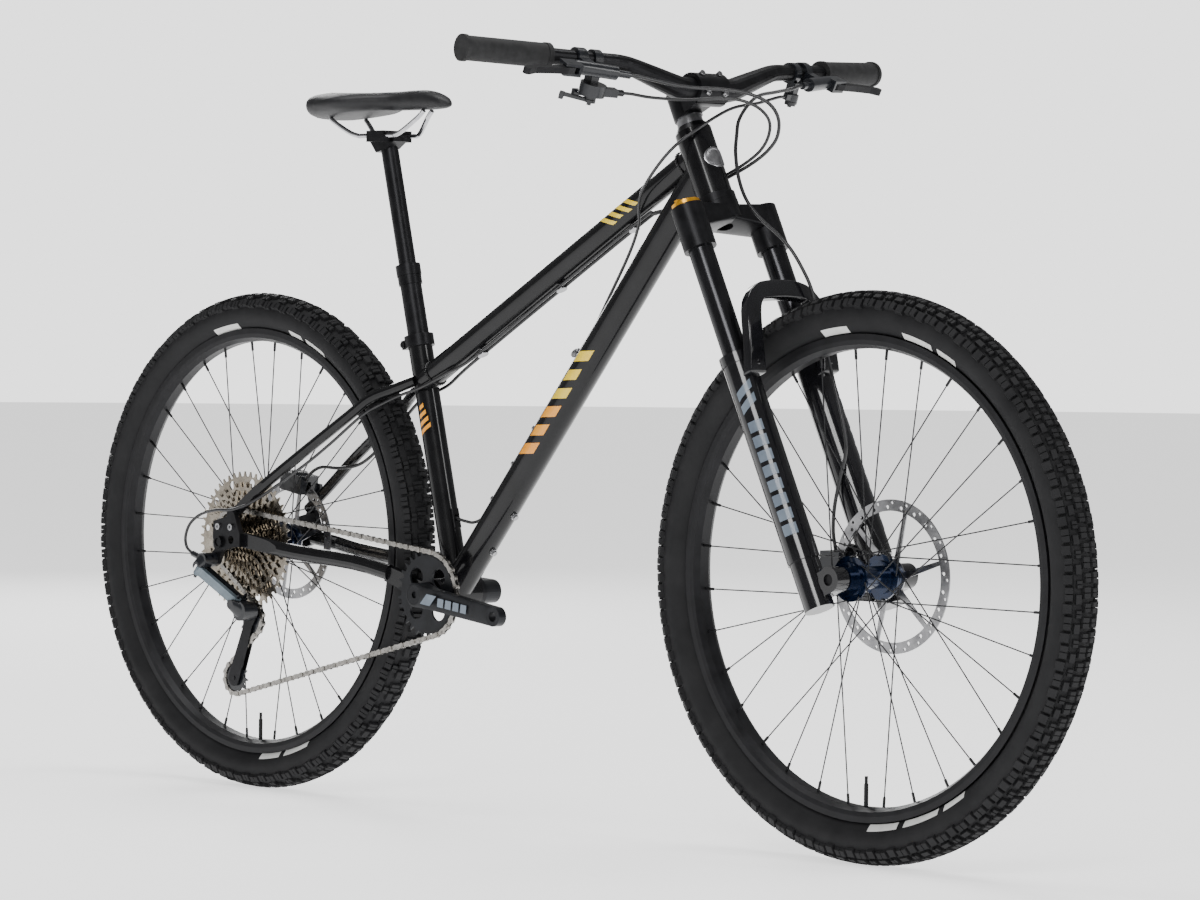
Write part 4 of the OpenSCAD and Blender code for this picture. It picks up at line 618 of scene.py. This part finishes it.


# hoses and housings, laid as fixed curved tubes between the bodies they join

routes = {
    "front_hose": {"radius": 0.0025, "bodies": ("steering", "fork_slider"),
                   "start": (0.385, 0, 0.86), "end": (0.45, 0, 0.78), "points": [
        (328.2, 165.9, 1031.4), (332, 153, 1030), (333, 138, 1026), (326, 115, 1021), (320, 88, 1015),
        (318, 68, 1000), (322, 48, 980), (330, 36, 960), (338, 26, 935), (352, 18, 901),
        (371, 14, 871), (392, 20, 846), (426, 32, 815), (450, 40, 780), (468, 45, 740),
        (494, 46, 658), (522, 44, 580), (530, 43, 540), (521, 43, 506), (511, 43, 466),
        (506, 46, 432), (509, 48, 406.2)]},
    "rear_hose": {"radius": 0.0025, "bodies": ("frame", "steering"),
                  "start": (0.22, 0, 0.86), "end": (0.28, 0, 1.0), "points": [
        (328.2, -165.9, 1031.4), (333, -152, 1030), (341, -125, 1025), (350, -80, 1019), (362, -30, 1018),
        (374, 8, 1014), (384, 40, 1002), (386, 58, 982), (377, 66, 958), (362, 62, 938),
        (340, 52, 920), (308, 40, 902), (268, 34, 884), (238, 26, 868), (206, 9, 855),
        (186, 5, 844), (17, 5, 747), (-144, 5, 653.5), (-192, 14, 630), (-232, 24, 611),
        (-272, 27, 598), (-300, 33, 588), (-338, 44, 568), (-400, 53, 524), (-452, 54, 492),
        (-490, 45, 484), (-530, 43, 484), (-558, 46, 474), (-573.6, 50, 461.3)]},
    "shift_housing": {"radius": 0.0022, "bodies": ("frame", "steering"),
                      "start": (0.22, 0, 0.86), "end": (0.28, 0, 1.0), "points": [
        (296.6, -147.8, 1009.4), (299, -134, 1009), (312, -108, 1005), (340, -70, 1003), (358, -26, 1006),
        (368, 6, 1004), (376, 32, 994), (377, 50, 978), (369, 57, 958), (355, 55, 938),
        (334, 45, 920), (304, 33, 902), (266, 27, 882), (238, 18, 864), (212, -3, 855),
        (190, -5, 846), (17, -5, 747), (-144, -5, 653.5), (-192, -14, 630), (-232, -24, 610),
        (-272, -27, 598), (-300, -33, 587), (-338, -45, 567), (-400, -54, 523), (-452, -63, 488),
        (-536, -74, 440), (-580, -86, 422), (-612, -91, 420), (-644, -94, 413), (-668, -96, 398),
        (-679, -96, 378), (-677, -95, 362), (-664.5, -94, 353.2)]},
    "dropper_housing": {"radius": 0.0022, "bodies": ("frame", "steering"),
                        "start": (0.20, 0, 0.86), "end": (0.27, 0, 1.0), "points": [
        (290.3, 171.8, 1018.1), (293, 158, 1017), (299, 132, 1012), (308, 100, 1006), (312, 50, 998),
        (316, 10, 984), (310, -24, 964), (288, -42, 942), (252, -40, 914), (216, -31, 882),
        (202, -22, 858), (190, -10, 838), (162, 0, 799), (112, 4, 728), (80, 6, 682),
        (50, 8, 645), (-15, 12, 561), (-78, 13, 485), (-112, 11, 450), (-130, 7, 428),
        (-148, 2, 418), (-166, 0, 419), (-187, 0, 423)]},
}
for nodeName, v in routes.items():
    path = smoothPath([Vector(p) / 1000 for p in v["points"]], 8)
    hose = tube(path, v["radius"], nodeName + "_run", 3)
    finishPiece(hose, nodeName + "_run", None, material["hose_black"], (nodeName,), 60)
    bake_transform(hose)
print("hoses ready")

# saddle: a firm padded shell, swelled a little out of the part's own shape

saddle = {"voxel": 0.004, "smooth": 6, "frames": 12, "pressure": 4.0, "mostSwell": 0.002, "fill": 0.9}


def makeSaddle():
    source = frame["nodes"]["saddle"]
    pad = source.copy()
    pad.data = source.data.copy()
    pad.parent = None
    bpy.context.scene.collection.objects.link(pad)
    pad.matrix_world = Matrix.Identity(4)
    pad.modifiers.clear()
    recalculateNormals(pad)
    addModifier(pad, "REMESH", mode="VOXEL", voxel_size=saddle["voxel"])
    addModifier(pad, "SMOOTH", factor=0.6, iterations=saddle["smooth"])
    applyModifiers(pad)
    rest = [p.co.copy() for p in pad.data.vertices]
    only(pad)
    bpy.ops.object.modifier_add(type="CLOTH")
    cloth = pad.modifiers[-1]
    cloth.settings.use_pressure = True
    cloth.settings.uniform_pressure_force = saddle["pressure"]
    cloth.settings.effector_weights.gravity = 0
    cloth.point_cache.frame_start, cloth.point_cache.frame_end = 1, saddle["frames"]
    for f in range(1, saddle["frames"] + 1):
        bpy.context.scene.frame_set(f)
    applyModifiers(pad)
    bpy.context.scene.frame_set(1)
    for p, was in zip(pad.data.vertices, rest):
        move = p.co - was
        if move.length > saddle["mostSwell"]:
            p.co = was + move.normalized() * saddle["mostSwell"]
    addModifier(pad, "SUBSURF", levels=1, render_levels=1)
    applyModifiers(pad)
    finishPiece(pad, "saddle_pad", "seatpost", material["saddle_cover"], ("saddle",), 60)


makeSaddle()
print("saddle ready")


# fork arch in front of the crown

forkArch = {
    "width": 0.026, "depth": 0.016, "footScale": 1.25, "edge": 0.0028,
    # forward, left and up from the foot of the steering axis, to the middle of the arch
    "knots": [(0.030, 0.071, 0.298), (0.0435, 0.070, 0.335), (0.050, 0.067, 0.366), (0.053, 0.060, 0.392),
              (0.055, 0.046, 0.406), (0.055, 0.022, 0.409), (0.055, 0.0, 0.410)],
}


def makeForkArch():
    # a flat bar swept over the tyre: one face drawn along the knots, then bevelled
    place = aboutSteering()
    knots = [Vector((f, y, u)) for f, y, u in forkArch["knots"]]
    knots += [Vector((k.x, -k.y, k.z)) for k in reversed(knots[:-1])]
    clearSelection()
    bpy.ops.mesh.primitive_plane_add(size=1)
    bar = bpy.context.object
    bar.name = "forkArch"
    forward = Vector((1, 0, 0))

    def corners(i):
        a, b = knots[max(i - 1, 0)], knots[min(i + 1, len(knots) - 1)]
        along = (b - a).normalized()
        across = along.cross(forward).normalized()
        half = forkArch["width"] / 2 * (forkArch["footScale"] if i in (0, len(knots) - 1) else 1)
        return [knots[i] + across * sx * half + forward * sy * forkArch["depth"] / 2
                for sx, sy in ((-1, -1), (1, -1), (1, 1), (-1, 1))]

    ordered = [bar.data.polygons[0].vertices[k] for k in range(4)]
    for v, co in zip(ordered, corners(0)):
        bar.data.vertices[v].co = co
    for i in range(1, len(knots)):
        only(bar)
        bpy.ops.object.mode_set(mode="EDIT")
        bpy.ops.mesh.extrude_region_move(TRANSFORM_OT_translate={"value": (0, 0, 0.001)})
        bpy.ops.object.mode_set(mode="OBJECT")
        chosen = [p.index for p in bar.data.vertices if p.select]
        face = next(f for f in bar.data.polygons if set(f.vertices) == set(chosen))
        before = {v: bar.data.vertices[v].co.copy() - Vector((0, 0, 0.001)) for v in face.vertices}
        old = corners(i - 1)
        for v, co in before.items():
            k = min(range(4), key=lambda n: (old[n] - co).length)
            bar.data.vertices[v].co = corners(i)[k]
    recalculateNormals(bar)
    bar.matrix_world = place
    addModifier(bar, "BEVEL", width=forkArch["edge"], segments=3, limit_method="ANGLE",
                angle_limit=math.radians(40))
    addModifier(bar, "SUBSURF", levels=1, render_levels=1)
    applyModifiers(bar)
    finishPiece(bar, "fork_arch", "fork_slider", material["fork_black"])


makeForkArch()
print("fork arch ready")


# plain painted marks, laid on the tubes as thin films

marks = {"gap": 0.00035, "thickness": 0.00015}  # gap is from the tube to the film's middle


def markPaint(name, low, high, rough=0.35):
    return finishMaterial(name, low, high, rough, coat=0.4, grain=1200, grainDepth=0.00002, cloud=25)


markFinish = {
    "yellow": markPaint("markYellow", (0.80, 0.52, 0.02), (0.88, 0.68, 0.05)),
    "orange": markPaint("markOrange", (0.85, 0.30, 0.01), (0.93, 0.43, 0.03)),
    "grey": markPaint("markGrey", (0.10, 0.13, 0.17), (0.17, 0.21, 0.26), 0.5),
}


def makeMark(place, radius, along, length, angle, half, slant):
    # a slanted patch curved round a tube whose middle line is the Z of place
    clearSelection()
    bpy.ops.mesh.primitive_grid_add(x_subdivisions=8, y_subdivisions=4, size=2)
    patch = bpy.context.object
    for p in patch.data.vertices:
        turn = math.radians(angle + p.co.x * half)
        rise = along + (p.co.y + 1) / 2 * length + p.co.x * half * slant * radius / 57.3
        r = radius + marks["gap"]
        p.co = (r * math.cos(turn), r * math.sin(turn), rise)
    recalculateNormals(patch)
    patch.matrix_world = place
    bpy.ops.object.transform_apply(location=True, rotation=True, scale=True)
    addModifier(patch, "SOLIDIFY", thickness=marks["thickness"], offset=0)
    applyModifiers(patch)
    return patch


def marksOn(name, body, place, radius, rows, colour):
    patches = [makeMark(place, radius, *row) for row in rows]
    finishPiece(join(patches, name), name, body, markFinish[colour])


tubes = {"downRadius": 0.022, "downDir": (0.637, 0, 0.771), "topRadius": 0.0175, "seatRadius": 0.0175,
         "topStart": (-0.2522, 0, 0.617), "topEnd": (0.2968, 0, 0.9347)}
downPlace = alongLine(bracket, bracket + Vector(tubes["downDir"]))
topPlace = alongLine(Vector(tubes["topStart"]), Vector(tubes["topEnd"]))
seatFoot = seatPoint + seatUp * (bracket - seatPoint).dot(seatUp)
seatPlace = frameOf(seatFoot, seatFwd, Vector((0, 1, 0)), seatUp)
# each row is one bar: along, length, angle round the tube, half width in degrees, slant;
# 180 degrees looks back, 270 to the drive side and 90 to the other
marksOn("down_tube_marks_low", "frame", downPlace, tubes["downRadius"],
        [(0.265 + 0.034 * i, 0.020, 268, 30 - 3 * (i % 2), 0.9) for i in range(3)], "orange")
marksOn("down_tube_marks_high", "frame", downPlace, tubes["downRadius"],
        [(0.367 + 0.034 * i, 0.019, 268, 30 - 4 * (i % 2), 0.9) for i in range(3)], "yellow")
marksOn("down_tube_marks_left", "frame", downPlace, tubes["downRadius"],
        [(0.265 + 0.034 * i, 0.019, 92, 28 - 3 * (i % 2), -0.9) for i in range(6)], "yellow")
marksOn("top_tube_marks", "frame", topPlace, tubes["topRadius"],
        [(0.445 + 0.017 * i, 0.009, 262, 34 - 5 * (i % 2), 1.1) for i in range(4)], "yellow")
marksOn("seat_tube_mark", "frame", seatPlace, tubes["seatRadius"],
        [(0.235 + 0.011 * i, 0.006, 275, 34 - 7 * i, 0.5) for i in range(4)], "orange")
legs = {"fwd": 0.008, "apart": 0.070, "radius": 0.0222}
for side, label in ((-1, "right"), (1, "left")):
    legPlace = aboutSteering(fwd=legs["fwd"], left=side * legs["apart"])
    facing = 300 if side < 0 else 60
    marksOn("fork_leg_marks_" + label, "fork_slider", legPlace, legs["radius"],
            [(0.275, 0.012, facing, 30, 0.6), (0.256, 0.012, facing, 30, 0.6)]
            + [(0.075 + 0.021 * i, 0.015, facing, 26, 0.0) for i in range(8)], "grey")
print("painted marks ready")


# plain oval badge on the head tube

badge = {"radius": 0.0254, "half": 0.019, "tall": 0.030, "middle": 0.622, "rim": 0.0022, "thickness": 0.0012}


def makeBadge():
    clearSelection()
    bpy.ops.mesh.primitive_circle_add(vertices=48, radius=1, fill_type="NGON")
    plate = bpy.context.object
    bpy.ops.object.mode_set(mode="EDIT")
    bpy.ops.mesh.select_all(action="SELECT")
    bpy.ops.mesh.inset(thickness=0.18)
    bpy.ops.mesh.inset(thickness=0.08)
    bpy.ops.mesh.select_mode(type="FACE")
    bpy.ops.mesh.inset(thickness=0.30)
    bpy.ops.mesh.inset(thickness=0.20)
    bpy.ops.object.mode_set(mode="OBJECT")
    for p in plate.data.vertices:
        across, rise = p.co.x, p.co.y
        size = math.hypot(across, rise)
        turn = across * badge["half"] / badge["radius"]
        height = badge["thickness"] * (1 if size > 0.8 else 0.25 if size > 0.6 else 0.7)
        r = badge["radius"] + height
        p.co = (r * math.cos(turn), r * math.sin(turn), rise * badge["tall"] / 2 + badge["middle"])
    recalculateNormals(plate)
    plate.matrix_world = aboutSteering()
    only(plate)
    bpy.ops.object.transform_apply(location=True, rotation=True, scale=True)
    addModifier(plate, "SOLIDIFY", thickness=badge["thickness"], offset=-1)
    addModifier(plate, "BEVEL", width=0.0003, segments=2, limit_method="ANGLE", angle_limit=math.radians(35))
    applyModifiers(plate)
    finishPiece(plate, "head_badge", "frame", material["silver_alloy"])


makeBadge()
print("badge ready")


# plain pale bars on the tyre walls

wallBars = {"lift": 0.0004, "thickness": 0.0003, "low": 118, "high": 140}


def makeWallBar(v, ringRadius, section, side, start, span):
    # a curved patch on the side of the casing; angles in degrees round the axle from straight down
    clearSelection()
    bpy.ops.mesh.primitive_grid_add(x_subdivisions=max(3, round(span)), y_subdivisions=4, size=2)
    patch = bpy.context.object
    for p in patch.data.vertices:
        a = math.radians(start + (p.co.x + 1) / 2 * span - 90)
        t = math.radians(wallBars["low"] + (p.co.y + 1) / 2 * (wallBars["high"] - wallBars["low"]))
        s = section + wallBars["lift"]
        r, y = ringRadius + s * math.cos(t), s * math.sin(t)
        if r < ringRadius:
            y *= 1 - tread["drawIn"] * ((ringRadius - r) / section) ** 2
        p.co = (v["axle"].x + r * math.cos(a), v["axle"].y + side * y, v["axle"].z + r * math.sin(a))
    recalculateNormals(patch)
    addModifier(patch, "SOLIDIFY", thickness=wallBars["thickness"], offset=0)
    applyModifiers(patch)
    return patch


def makeWallBars(nodeName, v):
    low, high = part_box(nodeName)
    section = (high.y - low.y) / 2 - tread["proud"]
    ringRadius = high.z - v["axle"].z - tread["deep"] - section
    bars = []
    for side in (-1, 1):
        for start, span in v["bars"]:
            bars.append(makeWallBar(v, ringRadius, section, side, start, span))
    finishPiece(join(bars, nodeName + "_bars"), nodeName + "_bars", v["body"], wallBarPaint)


wallBarPaint = finishMaterial("wallBarPaint", (0.62, 0.62, 0.60), (0.78, 0.78, 0.76), 0.6, grain=900,
                              cloud=60)
for nodeName, v in tyres.items():
    makeWallBars(nodeName, v)
print("tyre wall bars ready")


# bolts: stem faceplate, and small socket heads

socketBolt = {"radius": 0.0042, "height": 0.0035, "socket": 0.0022, "depth": 0.002}


def makeSocketBolt(place):
    # a round head with a round socket hole, Z of place pointing out of it
    clearSelection()
    bpy.ops.mesh.primitive_cylinder_add(vertices=24, radius=socketBolt["radius"], depth=socketBolt["height"],
                                        location=(0, 0, socketBolt["height"] / 2))
    bolt = bpy.context.object
    bpy.ops.object.transform_apply(location=True, rotation=True, scale=True)
    for f in bolt.data.polygons:
        f.select = f.normal.z > 0.9
    bpy.ops.object.mode_set(mode="EDIT")
    bpy.ops.mesh.select_mode(type="FACE")
    bpy.ops.mesh.inset(thickness=socketBolt["radius"] - socketBolt["socket"])
    bpy.ops.mesh.extrude_region_move(TRANSFORM_OT_translate={"value": (0, 0, -socketBolt["depth"])})
    bpy.ops.mesh.select_mode(type="VERT")
    bpy.ops.object.mode_set(mode="OBJECT")
    addModifier(bolt, "BEVEL", width=0.0005, segments=2, limit_method="ANGLE", angle_limit=math.radians(60))
    applyModifiers(bolt)
    bolt.matrix_world = place
    only(bolt)
    bpy.ops.object.transform_apply(location=True, rotation=True, scale=True)
    return bolt


stemBolts = {"up": 0.714, "rise": 0.0145, "fwd": 0.0615, "apart": 0.0165}


def makeStemBolts():
    bolts = []
    for rise in (-1, 1):
        for side in (-1, 1):
            at = aboutSteering(stemBolts["up"] + rise * stemBolts["rise"], stemBolts["fwd"],
                               side * stemBolts["apart"])
            bolts.append(makeSocketBolt(at @ Matrix.Rotation(math.pi / 2, 4, "Y")))
    finishPiece(join(bolts, "stem_bolts"), "stem_bolts", "steering", material["bare_steel"])


makeStemBolts()
print("stem bolts ready")


# plain bars on the right crank arm

# each patch: start along the arm, length, lower and upper edge, lean
crankMarks = {
    "turn": 7.0, "face": 0.0860, "lift": 0.0002, "thickness": 0.00016,
    "patches": [(0.030, 0.020, -0.008, 0.008, 0.006), (0.060, 0.012, -0.006, 0.006, 0),
                (0.076, 0.012, -0.006, 0.006, 0), (0.092, 0.012, -0.006, 0.006, 0),
                (0.108, 0.012, -0.006, 0.006, 0)],
}


def makeCrankMarks():
    # Z of the frame points out of the arm's face, X along the arm
    turn = math.radians(crankMarks["turn"])
    along = Vector((math.cos(turn), 0, -math.sin(turn)))
    out = Vector((0, -1, 0))
    place = frameOf(bracket + out * crankMarks["face"], along, out.cross(along), out)
    patches = []
    for start, length, low, high, lean in crankMarks["patches"]:
        clearSelection()
        bpy.ops.mesh.primitive_plane_add(size=1, location=(start + length / 2, (low + high) / 2,
                                                           crankMarks["lift"]))
        patch = bpy.context.object
        patch.scale = (length, high - low, 1)
        bpy.ops.object.transform_apply(location=True, rotation=True, scale=True)
        for p in patch.data.vertices:
            p.co.x += lean * (1 if p.co.y > 0 else -1)
        addModifier(patch, "SOLIDIFY", thickness=crankMarks["thickness"], offset=0)
        applyModifiers(patch)
        patch.matrix_world = place
        patches.append(patch)
    finishPiece(join(patches, "crank_marks"), "crank_marks", "cranks", markFinish["grey"])


makeCrankMarks()
print("crank marks ready")


# weld beads where the frame tubes meet

weld = {"radius": 0.0022, "ripple": 0.0005, "pitch": 0.0042, "tubeRadius": 0.0178, "headAt": 0.6045,
        "seatAt": 0.024}


def makeWeld(name, place, push):
    # a rippled bead round the top tube, that far along it
    radius = weld["tubeRadius"]
    around = max(24, round(2 * math.pi * radius / weld["pitch"]) * 4)
    clearSelection()
    bpy.ops.mesh.primitive_torus_add(major_segments=around, minor_segments=8, major_radius=radius,
                                     minor_radius=weld["radius"])
    bead = bpy.context.object
    for p in bead.data.vertices:
        a = math.atan2(p.co.y, p.co.x)
        r = math.hypot(p.co.x, p.co.y)
        wave = weld["ripple"] * math.sin(a * around / 4)
        scale = 1 + wave * (1 if r > radius else -1) / radius
        p.co = (p.co.x * scale, p.co.y * scale, p.co.z + push)
    bead.matrix_world = place
    finishPiece(bead, name, "frame", material["frame_paint"], angle=60)


makeWeld("weld_top_head", topPlace, weld["headAt"])
makeWeld("weld_top_seat", topPlace, weld["seatAt"])
print("welds ready")
